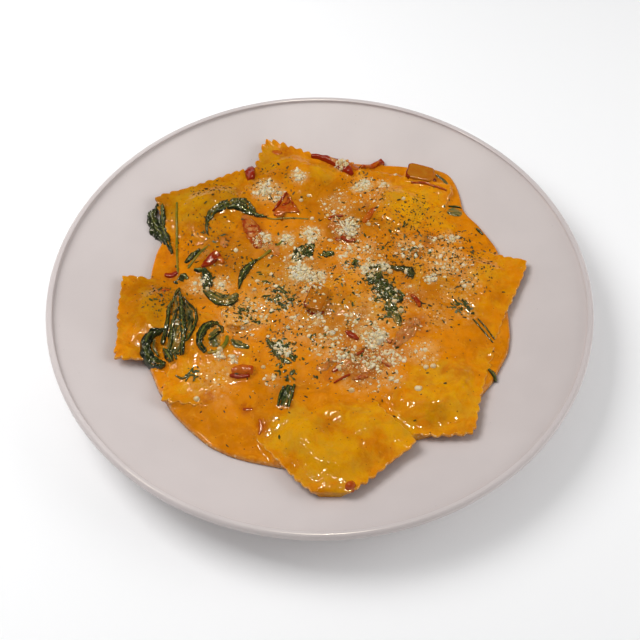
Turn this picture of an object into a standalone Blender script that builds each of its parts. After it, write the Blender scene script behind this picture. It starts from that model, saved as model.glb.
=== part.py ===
"""Square ravioli in a creamy tomato sauce, with spinach and tomato, on a round coupe plate.

The origin is the centre of the plate's foot, on the surface that the plate stands on.
+X runs to the eater's right, +Y away from the eater and +Z up. All sizes are in metres.

The food is laid one piece after another, as a cook would: each piece drapes over a terrain,
which is the height of the plate and of all that lies on it so far, and then adds to it.
"""

import math
from dataclasses import dataclass

import bmesh
import bpy
import numpy as np

# Plate
PLATE_RADIUS = 0.135
PLATE_HEIGHT = 0.026
PLATE_STEPS = 56
WELL_FLOOR = 0.006
WELL_FLAT_RADIUS = 0.070
WELL_RIM_RADIUS = 0.1305
WELL_RISE = 0.0172
WELL_POWER = 1.5
LIP_ROLL = 0.0021
FOOT_OUTER_RADIUS = 0.078
FOOT_INNER_RADIUS = 0.072
FOOT_RECESS = 0.0022
FOOT_BEVEL = 0.002
FOOT_SHOULDER = (0.082, 0.0028)
WALL = 0.0042

# Where the plate's profile has its points: radii on the well and on the underside, and degrees
# round the lip.
WELL_STATIONS = (0.0, WELL_FLAT_RADIUS, 0.084, 0.100, 0.116, WELL_RIM_RADIUS)
LIP_STATIONS = (125, 80, 40, 0, -45)
UNDERSIDE_STATIONS = (0.127, 0.112, 0.096)

# Gaps and layers between the pieces of food
CLEARANCE = 0.0005
SAUCE_BED = 0.0016
SAUCE_LEVEL = 0.0125
SAUCE_EDGE = 0.0060
SAUCE_THINNEST = 0.0020
SAUCE_LIP = 0.22
SAUCE_POINTS = 56
# How far in from the edge the rings of its top lie, and the reach and step of those under it.
SAUCE_INSETS = (0.034, SAUCE_EDGE, 0.0030, 0.0009, 0.0)
SAUCE_BED_RINGS = ((1.0, 1), (0.80, 1), (0.62, 2))

# Ravioli
RAVIOLI_HALF = 0.0255
PASTA_EDGE = 0.0024
MOUND_HEIGHT = 0.0064
FLUTES_PER_SIDE = 7
FLUTE_DEPTH = 0.0009
# Each ring between the edge and the middle: its points, reach and roundness, and on top its
# share of the mound's height.
MOUND_RINGS = ((28, 0.82, 0.10, 0.00), (28, 0.64, 0.40, 0.60), (14, 0.36, 0.70, 0.94))
BED_RINGS = ((28, 0.70, 0.20), (14, 0.34, 0.60))

# Terrain
CELL = 0.001
DRAPE_REACH = 0.003
DRAPE_SOFTNESS = 0.0035

# Toppings: across a strip, where each point of a cross-section lies and its share of the
# thickness; and how far a pointed tip reaches, as a share of the half width there.
STRIP_SECTION = ((-1.0, 0.4), (-0.5, 1.0), (0.5, 1.0), (1.0, 0.4), (0.7, 0.0), (-0.7, 0.0))
TIP_REACH = 0.6

# Columns that clear the sauce round the ravioli
CUTTER_TOP = 0.040
CUTTER_STEP = 0.0002
CUTTER_POINTS = 16

# Edges that bend more than this many degrees stay sharp.
SHARP_ANGLE = 50


@dataclass(frozen=True)
class Ravioli:
    """A square pillow of pasta: its middle, its turn about Z in degrees and its shape.

    The lean shears it, the mound scales its filling's height, and the cut is how much of its
    first corner is missing, as a share of half its side.
    """

    name: str
    x: float
    y: float
    turn: float
    lean: float = 0.0
    scale: float = 1.0
    mound: float = 1.0
    cut: float = 0.0


@dataclass(frozen=True)
class Strip:
    """A topping that lies along a path: (x, y, half width) at each of its stations."""

    name: str
    material: str
    thickness: float
    stations: tuple
    blunt: bool = False
    steps: int = 7


# In the order in which they are laid, the lowest first.
RAVIOLI = (
    Ravioli("ravioli_left", -0.0745, -0.0135, 2.5),
    Ravioli("ravioli_upper_left", -0.0555, 0.0498, 28.0, lean=0.10, scale=1.05),
    Ravioli("ravioli_right", 0.0735, 0.0065, -24.0),
    Ravioli("ravioli_upper_right", 0.0390, 0.0555, -17.0, scale=1.04, mound=1.15),
    Ravioli("ravioli_lower_right", 0.0510, -0.0535, -8.0, lean=0.16, scale=1.04),
    Ravioli("ravioli_top", -0.0135, 0.0747, -17.0),
    Ravioli("ravioli_lower_left", -0.0475, -0.0385, -3.0, mound=0.8),
    Ravioli("ravioli_bottom", 0.0066, -0.0820, 41.0, scale=1.06, mound=1.1, cut=0.44),
    Ravioli("ravioli_middle_left", -0.0270, 0.0070, 14.0, mound=0.8),
    Ravioli("ravioli_middle_right", 0.0215, 0.0010, -19.0, mound=0.8),
)

# The edge of the sauce, from the left and anticlockwise; pasta reaches over it in places.
SAUCE_OUTLINE = (
    (-0.0860, -0.0200),
    (-0.0840, -0.0380),
    (-0.0765, -0.0555),
    (-0.0690, -0.0670),
    (-0.0610, -0.0755),
    (-0.0470, -0.0870),
    (-0.0300, -0.0930),
    (-0.0120, -0.0960),
    (0.0100, -0.0940),
    (0.0360, -0.0820),
    (0.0600, -0.0765),
    (0.0780, -0.0560),
    (0.0890, -0.0400),
    (0.0955, -0.0190),
    (0.0935, 0.0000),
    (0.0945, 0.0180),
    (0.0935, 0.0310),
    (0.0870, 0.0450),
    (0.0785, 0.0575),
    (0.0765, 0.0700),
    (0.0690, 0.0850),
    (0.0420, 0.0915),
    (0.0180, 0.0940),
    (-0.0080, 0.0960),
    (-0.0350, 0.0900),
    (-0.0560, 0.0790),
    (-0.0740, 0.0620),
    (-0.0820, 0.0420),
    (-0.0865, 0.0270),
    (-0.0880, 0.0080),
)

TOPPINGS = (
    # Spinach that lies under or beside the pasta's edges.
    Strip("spinach_left_edge", "spinach", 0.0030,
          ((-0.0905, 0.0530, 0.0030), (-0.0870, 0.0425, 0.0050), (-0.0785, 0.0290, 0.0028))),
    Strip("spinach_stem_left", "stem", 0.0022,
          ((-0.0770, 0.0600, 0.0011), (-0.0755, 0.0340, 0.0012), (-0.0735, 0.0100, 0.0013))),
    # Tomato.
    Strip("tomato_peel_top", "tomato_red", 0.0022,
          ((-0.0040, 0.0985, 0.0015), (0.0080, 0.0960, 0.0030), (0.0190, 0.0860, 0.0022))),
    Strip("tomato_slice_top", "tomato_red", 0.0030,
          ((0.0240, 0.0900, 0.0018), (0.0335, 0.0940, 0.0034)), blunt=True, steps=4),
    Strip("tomato_block_top_right", "tomato", 0.0075,
          ((0.0485, 0.0830, 0.0060), (0.0605, 0.0810, 0.0056)), blunt=True, steps=3),
    Strip("tomato_wedge_upper_left", "tomato_red", 0.0030,
          ((-0.0385, 0.0900, 0.0022), (-0.0375, 0.0790, 0.0024)), steps=4),
    Strip("tomato_wedge_top", "tomato_red", 0.0045,
          ((-0.0175, 0.0660, 0.0020), (-0.0185, 0.0540, 0.0068)), blunt=True, steps=4),
    Strip("tomato_left", "tomato_red", 0.0040,
          ((-0.0610, 0.0140, 0.0022), (-0.0530, 0.0230, 0.0050)), blunt=True, steps=4),
    Strip("tomato_upper_middle", "tomato_brown", 0.0050,
          ((0.0060, 0.0460, 0.0040), (0.0120, 0.0380, 0.0065), (0.0180, 0.0300, 0.0030)), steps=5),
    Strip("tomato_dice_middle", "tomato", 0.0055,
          ((0.0010, 0.0010, 0.0050), (-0.0045, -0.0130, 0.0042)), blunt=True, steps=4),
    Strip("tomato_flesh_lower", "tomato_brown", 0.0045,
          ((0.0070, -0.0460, 0.0050), (0.0190, -0.0420, 0.0105), (0.0330, -0.0360, 0.0065)), steps=6),
    Strip("tomato_right", "tomato_brown", 0.0040,
          ((0.0350, -0.0330, 0.0035), (0.0470, -0.0250, 0.0070)), blunt=True, steps=4),
    Strip("tomato_dice_lower_left", "tomato_red", 0.0048,
          ((-0.0420, -0.0500, 0.0034), (-0.0310, -0.0480, 0.0045)), blunt=True, steps=4),
    # Spinach on top.
    Strip("spinach_upper_left", "spinach", 0.0026,
          ((-0.0615, 0.0330, 0.0016), (-0.0580, 0.0440, 0.0030), (-0.0480, 0.0550, 0.0042),
           (-0.0370, 0.0510, 0.0036), (-0.0260, 0.0460, 0.0010)), steps=10),
    Strip("spinach_left_middle", "spinach", 0.0038,
          ((-0.0610, 0.0090, 0.0040), (-0.0575, -0.0010, 0.0050), (-0.0485, -0.0070, 0.0050),
           (-0.0425, -0.0010, 0.0030)), steps=9),
    Strip("spinach_sprig_middle", "spinach", 0.0030,
          ((-0.0405, 0.0020, 0.0018), (-0.0350, 0.0130, 0.0038), (-0.0220, 0.0290, 0.0010)), steps=8),
    Strip("spinach_lower_left", "spinach", 0.0045,
          ((-0.0700, -0.0060, 0.0045), (-0.0690, -0.0200, 0.0085), (-0.0730, -0.0340, 0.0105),
           (-0.0760, -0.0420, 0.0060)), steps=8),
    Strip("spinach_curl_left", "spinach", 0.0040,
          ((-0.0525, -0.0230, 0.0035), (-0.0530, -0.0310, 0.0065), (-0.0520, -0.0390, 0.0050)), steps=6),
    Strip("spinach_middle", "spinach", 0.0036,
          ((-0.0070, 0.0310, 0.0035), (-0.0120, 0.0200, 0.0048)), steps=5),
    Strip("spinach_right", "spinach", 0.0048,
          ((0.0460, 0.0100, 0.0045), (0.0330, 0.0020, 0.0105), (0.0370, -0.0110, 0.0085),
           (0.0390, -0.0210, 0.0035)), steps=9),
    Strip("spinach_lower_middle", "spinach", 0.0030,
          ((-0.0250, -0.0290, 0.0030), (-0.0180, -0.0380, 0.0036), (-0.0150, -0.0490, 0.0030)), steps=7),
    Strip("spinach_leaf_lower", "spinach", 0.0028,
          ((-0.0160, -0.0560, 0.0028), (-0.0170, -0.0650, 0.0026)), steps=4),
)

# Name, base colour, roughness and metallic value of each finish.
FINISHES = {
    "glazed_stoneware": ((0.62, 0.56, 0.55), 0.22, 0.0),
    "cream_sauce": ((0.62, 0.20, 0.010), 0.30, 0.0),
    "pasta": ((0.62, 0.26, 0.020), 0.38, 0.0),
    "tomato": ((0.48, 0.13, 0.012), 0.35, 0.0),
    "tomato_red": ((0.36, 0.035, 0.006), 0.30, 0.0),
    "tomato_brown": ((0.40, 0.10, 0.015), 0.38, 0.0),
    "spinach": ((0.030, 0.045, 0.012), 0.38, 0.0),
    "stem": ((0.20, 0.20, 0.015), 0.35, 0.0),
}


def finish(name):
    """The Blender material of one finish, made once."""
    made = bpy.data.materials.get(name)
    if made is None:
        colour, roughness, metallic = FINISHES[name]
        made = bpy.data.materials.new(name)
        made.use_nodes = True
        shader = made.node_tree.nodes["Principled BSDF"]
        shader.inputs["Base Color"].default_value = (*colour, 1.0)
        shader.inputs["Roughness"].default_value = roughness
        shader.inputs["Metallic"].default_value = metallic
        made.diffuse_color = (*colour, 1.0)
    return made


def well_height(radius):
    """Height of the plate's inner surface: a flat middle that curves up ever more to the rim."""
    out = (np.asarray(radius, float) - WELL_FLAT_RADIUS) / (WELL_RIM_RADIUS - WELL_FLAT_RADIUS)
    return WELL_FLOOR + WELL_RISE * np.maximum(out, 0.0) ** WELL_POWER


def shifted_maximum(height, cells):
    """Each cell takes the highest value within this many cells along X and Y."""
    for axis in (0, 1):
        source = height
        for step in range(-cells, cells + 1):
            height = np.maximum(height, np.roll(source, step, axis))
    return height


def blurred(height, cells):
    """A Gaussian blur with this standard deviation, in cells."""
    steps = range(-3 * cells, 3 * cells + 1)
    weights = [math.exp(-0.5 * (step / cells) ** 2) for step in steps]
    for axis in (0, 1):
        source = height
        height = sum(w * np.roll(source, step, axis) for w, step in zip(weights, steps))
        height = height / sum(weights)
    return height


class Terrain:
    """The height of the plate and of what lies on it, on a grid of square cells."""

    def __init__(self):
        count = 2 * round(PLATE_RADIUS / CELL) + 1
        self.axis = (np.arange(count) - (count - 1) / 2) * CELL
        x, y = np.meshgrid(self.axis, self.axis, indexing="ij")
        self.x, self.y = x, y
        self.top = well_height(np.hypot(x, y))

    def sample(self, height, points):
        """Reads a grid of heights at (x, y) points, straight between its cells."""
        place = (np.asarray(points, float)[:, :2] - self.axis[0]) / CELL
        low = np.clip(np.floor(place).astype(int), 0, len(self.axis) - 2)
        fx, fy = (place - low).T
        i, j = low.T
        return (height[i, j] * (1 - fx) * (1 - fy) + height[i + 1, j] * fx * (1 - fy)
                + height[i, j + 1] * (1 - fx) * fy + height[i + 1, j + 1] * fx * fy)

    def support(self):
        """The soft surface that a limp piece takes when it is laid on the terrain."""
        reached = shifted_maximum(self.top, round(DRAPE_REACH / CELL))
        return blurred(reached, round(DRAPE_SOFTNESS / CELL))

    def cells_of(self, triangle):
        """Indices of the cells under a triangle and its height over each of them."""
        a, b, c = triangle
        low = np.floor((np.min(triangle, 0)[:2] - self.axis[0]) / CELL).astype(int)
        high = np.ceil((np.max(triangle, 0)[:2] - self.axis[0]) / CELL).astype(int)
        i, j = np.meshgrid(*(np.arange(low[k], high[k] + 1) for k in (0, 1)), indexing="ij")
        i, j = i.ravel(), j.ravel()
        across = np.array([b[:2] - a[:2], c[:2] - a[:2]])
        size = np.linalg.det(across)
        if abs(size) < 1e-12:
            return i[:0], j[:0], np.zeros(0)
        offset = np.stack([self.axis[i] - a[0], self.axis[j] - a[1]], 1)
        share = offset @ np.linalg.inv(across)
        inside = (share.min(1) >= -1e-6) & (share.sum(1) <= 1 + 1e-6)
        height = a[2] + share @ np.array([b[2] - a[2], c[2] - a[2]])
        return i[inside], j[inside], height[inside]

    def lift_needed(self, triangles):
        """How far these triangles have to rise to clear the terrain."""
        near = shifted_maximum(self.top, 1)
        lift = 0.0
        for triangle in triangles:
            i, j, height = self.cells_of(triangle)
            if len(i):
                lift = max(lift, float((near[i, j] + CLEARANCE - height).max()))
        return lift

    def cover(self, triangles):
        """Raises the terrain to the triangles that lie on it."""
        for triangle in triangles:
            i, j, height = self.cells_of(triangle)
            self.top[i, j] = np.maximum(self.top[i, j], height)


def band(outer, inner):
    """Triangles between two closed rings of vertex numbers, one of which may be a single point.

    The longer ring has a whole number of times the points of the shorter one.
    """
    if len(inner) > len(outer):
        return [face[::-1] for face in band(inner, outer)]
    share = len(outer) // len(inner)
    faces = []
    for k in range(len(outer)):
        here, ahead = outer[k], outer[(k + 1) % len(outer)]
        middle = inner[(k + share // 2) // share % len(inner)]
        faces.append((here, ahead, middle))
        following = inner[(k + 1 + share // 2) // share % len(inner)]
        if following != middle:
            faces.append((ahead, following, middle))
    return faces


def ring_solid(name, rings, material):
    """A closed solid through rings of points, from its top's middle to its underside's middle."""
    numbers, count = [], 0
    for ring in rings:
        numbers.append(list(range(count, count + len(ring))))
        count += len(ring)
    faces = [face for first, second in zip(numbers, numbers[1:]) for face in band(first, second)]
    mesh = bpy.data.meshes.new(name)
    mesh.from_pydata([tuple(p) for ring in rings for p in ring], [], faces)
    closed = bmesh.new()
    closed.from_mesh(mesh)
    bmesh.ops.recalc_face_normals(closed, faces=closed.faces)
    closed.to_mesh(mesh)
    closed.free()
    mesh.materials.append(finish(material))
    mesh.shade_smooth()
    mesh.set_sharp_from_angle(angle=math.radians(SHARP_ANGLE))
    made = bpy.data.objects.new(name, mesh)
    bpy.context.scene.collection.objects.link(made)
    return made


def triangles_of(rings):
    """The triangles between the rings, as arrays of three points."""
    points = np.concatenate([np.asarray(ring, float) for ring in rings])
    numbers, count = [], 0
    for ring in rings:
        numbers.append(list(range(count, count + len(ring))))
        count += len(ring)
    return [points[list(face)] for first, second in zip(numbers, numbers[1:])
            for face in band(first, second)]


def make_plate():
    """The plate, turned from its profile: it runs down the outside and back under the foot."""
    well = [(r, float(well_height(r))) for r in WELL_STATIONS]
    lip = [(PLATE_RADIUS - LIP_ROLL * (1 - math.cos(math.radians(a))),
            PLATE_HEIGHT - LIP_ROLL * (1 - math.sin(math.radians(a)))) for a in LIP_STATIONS]
    underside = [(r, float(well_height(r)) - WALL) for r in UNDERSIDE_STATIONS]
    foot = [FOOT_SHOULDER, (FOOT_OUTER_RADIUS, 0.0), (FOOT_INNER_RADIUS, 0.0),
            (FOOT_INNER_RADIUS - FOOT_BEVEL, FOOT_RECESS), (0.0, FOOT_RECESS)]
    profile = [*well, *lip, *underside, *foot]
    mesh = bpy.data.meshes.new("plate")
    mesh.from_pydata([(r, 0.0, z) for r, z in profile],
                     [(k, k + 1) for k in range(len(profile) - 1)], [])
    mesh.materials.append(finish("glazed_stoneware"))
    plate = bpy.data.objects.new("plate", mesh)
    bpy.context.scene.collection.objects.link(plate)
    turned = plate.modifiers.new("turned", "SCREW")
    turned.steps = turned.render_steps = PLATE_STEPS
    turned.use_merge_vertices = True
    turned.merge_threshold = 0.0001
    turned.use_smooth_shade = True
    return plate


def square_point(k, count):
    """The k-th of count points round a square from -1 to 1, anticlockwise from a corner."""
    corners = np.array([(-1, -1), (1, -1), (1, 1), (-1, 1)], float)
    side, along = divmod(4 * k / count, 1)
    side = int(side)
    return corners[side] * (1 - along) + corners[(side + 1) % 4] * along


def pillow_ring(count, reach, roundness):
    """A ring inside the pillow: reach is its share of the side, roundness turns it to a circle."""
    ring = []
    for k in range(count):
        p = square_point(k, count)
        ring.append(reach * (p * (1 - roundness) + p / np.linalg.norm(p) * roundness))
    return np.array(ring)


def fluted_edge():
    """The pillow's cut edge: two points for each flute, one out and one in."""
    count = 8 * FLUTES_PER_SIDE
    depth = FLUTE_DEPTH / RAVIOLI_HALF
    ring = []
    for k in range(count):
        p = square_point(k, count)
        ring.append(p * (1 + depth * (0.5 if k % 2 == 0 else -0.5)))
    return np.array(ring)


class Pillow:
    """One ravioli draped over the terrain."""

    def __init__(self, terrain, piece):
        self.terrain = terrain
        self.ground = terrain.support()
        self.piece = piece

    def outline(self, ring):
        """Shears a ring of the unit square and cuts its first corner off; gives X and Y."""
        piece = self.piece
        beyond = np.maximum(piece.cut - 2 - ring.sum(1), 0.0)
        ring = ring + beyond[:, None] / 2
        turn = math.radians(piece.turn)
        u = RAVIOLI_HALF * piece.scale * (ring[:, 0] + piece.lean * ring[:, 1])
        v = RAVIOLI_HALF * piece.scale * ring[:, 1]
        return np.column_stack([piece.x + u * math.cos(turn) - v * math.sin(turn),
                                piece.y + u * math.sin(turn) + v * math.cos(turn)])

    def draped(self, ring, height):
        """Puts a ring of the flat pillow on the ground, at this height over it."""
        at = self.outline(ring)
        return np.column_stack([at, self.terrain.sample(self.ground, at) + height])

    def lay(self):
        """Builds the pillow clear of everything under it and adds it to the terrain."""
        middle, edge = np.zeros((1, 2)), fluted_edge()
        mound = MOUND_HEIGHT * self.piece.mound
        top = [self.draped(middle, PASTA_EDGE + mound)]
        top += [self.draped(pillow_ring(count, reach, roundness), PASTA_EDGE + share * mound)
                for count, reach, roundness, share in reversed(MOUND_RINGS)]
        top += [self.draped(edge, PASTA_EDGE)]
        under = [self.draped(edge, 0.0)]
        under += [self.draped(pillow_ring(*ring), 0.0) for ring in BED_RINGS]
        under += [self.draped(middle, 0.0)]
        lift = self.terrain.lift_needed(triangles_of(under))
        for ring in (*top, *under):
            ring[:, 2] += lift
        self.terrain.cover(triangles_of(top))
        return ring_solid(self.piece.name, [*top, *under], "pasta")

    def cutter(self, step):
        """A plain column round the pillow that stands on the bed of sauce, to clear the sauce.

        The step sets each column's floor a little apart from its neighbours' floors.
        """
        room = 1 + (FLUTE_DEPTH / 2 + CLEARANCE) / (RAVIOLI_HALF * self.piece.scale)
        floor = []
        for reach, roundness in ((room, 0.0), (0.5, 0.3), (0.0, 0.0)):
            ring = pillow_ring(CUTTER_POINTS, reach, roundness)
            at = self.outline(ring if reach else ring[:1])
            depth = SAUCE_BED - CUTTER_STEP * step
            floor.append(np.column_stack([at, well_height(np.hypot(*at.T)) + depth]))
        lid = [np.column_stack([ring[:, :2], np.full(len(ring), CUTTER_TOP)]) for ring in floor]
        made = ring_solid("cutter_" + self.piece.name, [lid[2], lid[0], *floor], "pasta")
        made.hide_render = True
        return made


def smooth_outline(points, count):
    """Evenly many points on a closed smooth curve through the given ones."""
    p = np.array(points, float)
    t = np.arange(count) * len(p) / count
    k = t.astype(int)
    f = (t - k)[:, None]
    a, b, c, d = (p[(k + step) % len(p)] for step in (-1, 0, 1, 2))
    return 0.5 * (2 * b + (c - a) * f + (2 * a - 5 * b + 4 * c - d) * f ** 2
                  + (3 * b - a - 3 * c + d) * f ** 3)


def pool_rise(inset):
    """Share of the sauce's depth at this distance in from its edge: a rounded meniscus."""
    t = np.clip(inset / SAUCE_EDGE, 0.0, 1.0)
    return np.sqrt(1 - (1 - t) ** 2)


def make_sauce(cutters):
    """The pool of sauce: level on top, round at its edge, and cut clear of each ravioli."""
    outline = smooth_outline(SAUCE_OUTLINE, SAUCE_POINTS)
    reach = np.hypot(outline[:, 0], outline[:, 1])[:, None]

    def level_ring(inset):
        """A ring of the top surface, this far in from the edge."""
        ring = outline * (reach - inset) / reach
        base = well_height(np.hypot(ring[:, 0], ring[:, 1])) + CLEARANCE
        depth = np.maximum(SAUCE_LEVEL - base, SAUCE_THINNEST)
        share = SAUCE_LIP + (1 - SAUCE_LIP) * pool_rise(inset)
        return np.column_stack([ring, base + depth * share])

    top = [np.array([[0.0, 0.0, SAUCE_LEVEL]])]
    top += [level_ring(inset) for inset in SAUCE_INSETS]
    under = []
    for share, step in SAUCE_BED_RINGS:
        ring = outline[::step] * share
        low = well_height(np.hypot(ring[:, 0], ring[:, 1])) + CLEARANCE
        under.append(np.column_stack([ring, low]))
    under.append(np.array([[0.0, 0.0, WELL_FLOOR + CLEARANCE]]))
    sauce = ring_solid("sauce", [*top, *under], "cream_sauce")
    for cutter in cutters:
        cut = sauce.modifiers.new(cutter.name, "BOOLEAN")
        cut.operation = "DIFFERENCE"
        cut.solver = "EXACT"
        cut.object = cutter
    return sauce


def cover_with_sauce(terrain):
    """Raises the terrain to the sauce's level inside its outline."""
    outline = smooth_outline(SAUCE_OUTLINE, 360)
    angle = np.arctan2(outline[:, 1], outline[:, 0])
    order = np.argsort(angle)
    reach = np.hypot(outline[:, 0], outline[:, 1])
    edge = np.interp(np.arctan2(terrain.y, terrain.x), angle[order], reach[order], period=2 * math.pi)
    inside = np.hypot(terrain.x, terrain.y) < edge
    terrain.top = np.where(inside, np.maximum(terrain.top, SAUCE_LEVEL), terrain.top)


def lay_strip(terrain, piece):
    """Drapes one topping along its path: a row of flat, domed cross-sections."""
    ground = terrain.support()
    stations = np.array(piece.stations, float)
    share = np.linspace(0, len(stations) - 1, piece.steps)
    path = np.column_stack([np.interp(share, range(len(stations)), stations[:, k]) for k in range(3)])
    for _ in range(2):
        path[1:-1] = (path[:-2] + 2 * path[1:-1] + path[2:]) / 4
    ahead = np.gradient(path[:, :2], axis=0)
    ahead /= np.linalg.norm(ahead, axis=1)[:, None]
    aside = np.column_stack([-ahead[:, 1], ahead[:, 0]])

    def draped(x, y, height):
        """A point on the ground at this height over it."""
        low = float(terrain.sample(ground, [(x, y)])[0])
        return (x, y, low + height)

    rings = []
    for (x, y, width), side in zip(path, aside):
        rings.append(np.array([draped(x + side[0] * width * t, y + side[1] * width * t,
                                      piece.thickness * rise) for t, rise in STRIP_SECTION]))
    tips = []
    for end, inward in ((0, 1), (-1, -2)):
        beyond = 0.0 if piece.blunt else TIP_REACH * path[end, 2]
        away = path[end, :2] - path[inward, :2]
        tip = path[end, :2] + away / np.linalg.norm(away) * beyond
        tips.append(np.array([draped(*tip, 0.5 * piece.thickness)]))
    rings = [tips[0], *rings, tips[1]]
    triangles = triangles_of(rings)
    lift = terrain.lift_needed(triangles)
    for ring in rings:
        ring[:, 2] += lift
    terrain.cover(triangles_of(rings))
    return ring_solid(piece.name, rings, piece.material)


def main():
    """Clears the scene and builds the plate, the ravioli, the sauce and the toppings."""
    for thing in list(bpy.data.objects):
        bpy.data.objects.remove(thing)
    make_plate()
    terrain = Terrain()
    terrain.top = terrain.top + SAUCE_BED
    cutters = []
    for number, piece in enumerate(RAVIOLI):
        pillow = Pillow(terrain, piece)
        pillow.lay()
        cutters.append(pillow.cutter(number % 5))
    make_sauce(cutters)
    cover_with_sauce(terrain)
    for piece in TOPPINGS:
        lay_strip(terrain, piece)


main()
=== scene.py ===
"""Looks of the plate of ravioli: glazed plate, pasta, sauce, vegetables, cheese and herbs.

Lengths are in metres, in the frame's axes: +X to the eater's right, +Y away from the eater and
+Z up. The food is made from the plate upwards. Each layer reads the relief, which is the height
of everything below it, and is then added to the relief.
"""

import sys

import logging
import math
from dataclasses import dataclass, field
from enum import Enum
from typing import Callable, Sequence

import bmesh
import bpy
import numpy as np
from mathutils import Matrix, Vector
from mathutils.bvhtree import BVHTree


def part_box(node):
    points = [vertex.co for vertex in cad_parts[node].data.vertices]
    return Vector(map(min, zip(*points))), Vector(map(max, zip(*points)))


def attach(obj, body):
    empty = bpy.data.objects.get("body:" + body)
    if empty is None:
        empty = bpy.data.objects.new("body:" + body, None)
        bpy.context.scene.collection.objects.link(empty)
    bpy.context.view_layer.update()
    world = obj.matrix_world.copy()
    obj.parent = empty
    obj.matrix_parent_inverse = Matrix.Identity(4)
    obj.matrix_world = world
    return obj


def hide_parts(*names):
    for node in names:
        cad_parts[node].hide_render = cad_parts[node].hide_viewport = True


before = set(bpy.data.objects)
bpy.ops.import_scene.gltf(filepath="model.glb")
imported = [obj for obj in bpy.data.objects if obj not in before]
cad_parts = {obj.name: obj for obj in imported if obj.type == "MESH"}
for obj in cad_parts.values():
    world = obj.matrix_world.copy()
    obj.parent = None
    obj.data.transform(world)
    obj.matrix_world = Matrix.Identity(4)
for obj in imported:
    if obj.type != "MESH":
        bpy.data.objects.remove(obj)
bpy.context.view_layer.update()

LOG = logging.getLogger("ravioli")
BODY = "root"

Array = np.ndarray
Colour = tuple[float, float, float]
Point2 = tuple[float, float]
Socket = bpy.types.NodeSocket


# ---------------------------------------------------------------------------------------------
# Numbers: noise, smooth curves and the relief


def ease(value: Array | float, low: float = 0.0, high: float = 1.0) -> Array:
    """A smooth step from 0 at low to 1 at high.

    Args:
        value: Where to read the step.
        low: The value at which it leaves 0.
        high: The value at which it reaches 1.

    Returns:
        The height of the step there.
    """
    t = np.clip((np.asarray(value, float) - low) / (high - low), 0.0, 1.0)
    return t * t * (3 - 2 * t)


class Noise:
    """Smooth seeded noise on the plane, mostly between -1 and 1."""

    def __init__(self, seed: int) -> None:
        """Draws the random slopes that the noise is made of."""
        draw = np.random.default_rng(seed)
        self.order = draw.permutation(256)
        turn = draw.uniform(0.0, 2 * math.pi, 256)
        self.slopes = np.stack([np.cos(turn), np.sin(turn)])

    def at(self, x: Array, y: Array, size: float) -> Array:
        """Reads the noise.

        Args:
            x: Places along X.
            y: Places along Y.
            size: The distance between neighbouring bumps.

        Returns:
            One value for each place.
        """
        px, py = np.asarray(x, float) / size, np.asarray(y, float) / size
        ix, iy = np.floor(px).astype(int), np.floor(py).astype(int)
        fx, fy = px - ix, py - iy
        sx, sy = (f ** 3 * (f * (f * 6 - 15) + 10) for f in (fx, fy))

        def corner(dx: int, dy: int) -> Array:
            """The share of one corner of the cell."""
            pick = self.order[(self.order[(ix + dx) & 255] + iy + dy) & 255]
            return self.slopes[0, pick] * (fx - dx) + self.slopes[1, pick] * (fy - dy)

        near = corner(0, 0) * (1 - sx) + corner(1, 0) * sx
        far = corner(0, 1) * (1 - sx) + corner(1, 1) * sx
        return 1.5 * (near * (1 - sy) + far * sy)

    def fractal(self, x: Array, y: Array, size: float, octaves: int = 3) -> Array:
        """Adds finer and finer noise, each octave half as large and half as strong."""
        shift = 7.7 * size
        parts = [self.at(x + k * shift, y - k * shift, size / 2 ** k) / 2 ** k for k in range(octaves)]
        return np.sum(parts, axis=0) / (2 - 0.5 ** (octaves - 1))


def smooth_path(points: Sequence[Sequence[float]], count: int, closed: bool = False) -> Array:
    """Points on a smooth curve through the given ones.

    Args:
        points: What the curve passes through, in order.
        count: How many points to return.
        closed: Whether the curve runs on from the last point to the first.

    Returns:
        An array with one row for each point.
    """
    p = np.asarray(points, float)
    if closed:
        t = np.arange(count) * len(p) / count
        k = t.astype(int)
        a, b, c, d = (p[(k + step) % len(p)] for step in (-1, 0, 1, 2))
    else:
        t = np.linspace(0, len(p) - 1, count)
        k = np.minimum(t.astype(int), len(p) - 2)
        a, b, c, d = (p[np.clip(k + step, 0, len(p) - 1)] for step in (-1, 0, 1, 2))
    f = (t - k)[:, None]
    return 0.5 * (2 * b + (c - a) * f + (2 * a - 5 * b + 4 * c - d) * f ** 2
                  + (3 * b - a - 3 * c + d) * f ** 3)


class SoftSquare:
    """A smooth surface over the square from -1 to 1, from a coarse grid of values."""

    def __init__(self, values: Array) -> None:
        """Keeps the coarse values, with one row for each step along the first axis."""
        self.values = np.pad(values, 2, mode="edge")
        self.steps = len(values) - 1

    def at(self, u: Array, v: Array) -> Array:
        """Reads the surface with cubic B-splines, which pass close to the values."""
        total = np.zeros(np.broadcast(u, v).shape)
        weights, starts = [], []
        for share in (u, v):
            place = (np.clip(share, -1.06, 1.06) + 1) / 2 * self.steps
            start = np.clip(np.floor(place).astype(int), -1, self.steps)
            f = place - start
            weights.append(((1 - f) ** 3 / 6, (3 * f ** 3 - 6 * f ** 2 + 4) / 6,
                            (-3 * f ** 3 + 3 * f ** 2 + 3 * f + 1) / 6, f ** 3 / 6))
            starts.append(start)
        top = len(self.values) - 1
        for i in range(4):
            for j in range(4):
                row = np.clip(starts[0] + 1 + i, 0, top)
                column = np.clip(starts[1] + 1 + j, 0, top)
                total = total + weights[0][i] * weights[1][j] * self.values[row, column]
        return total


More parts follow.
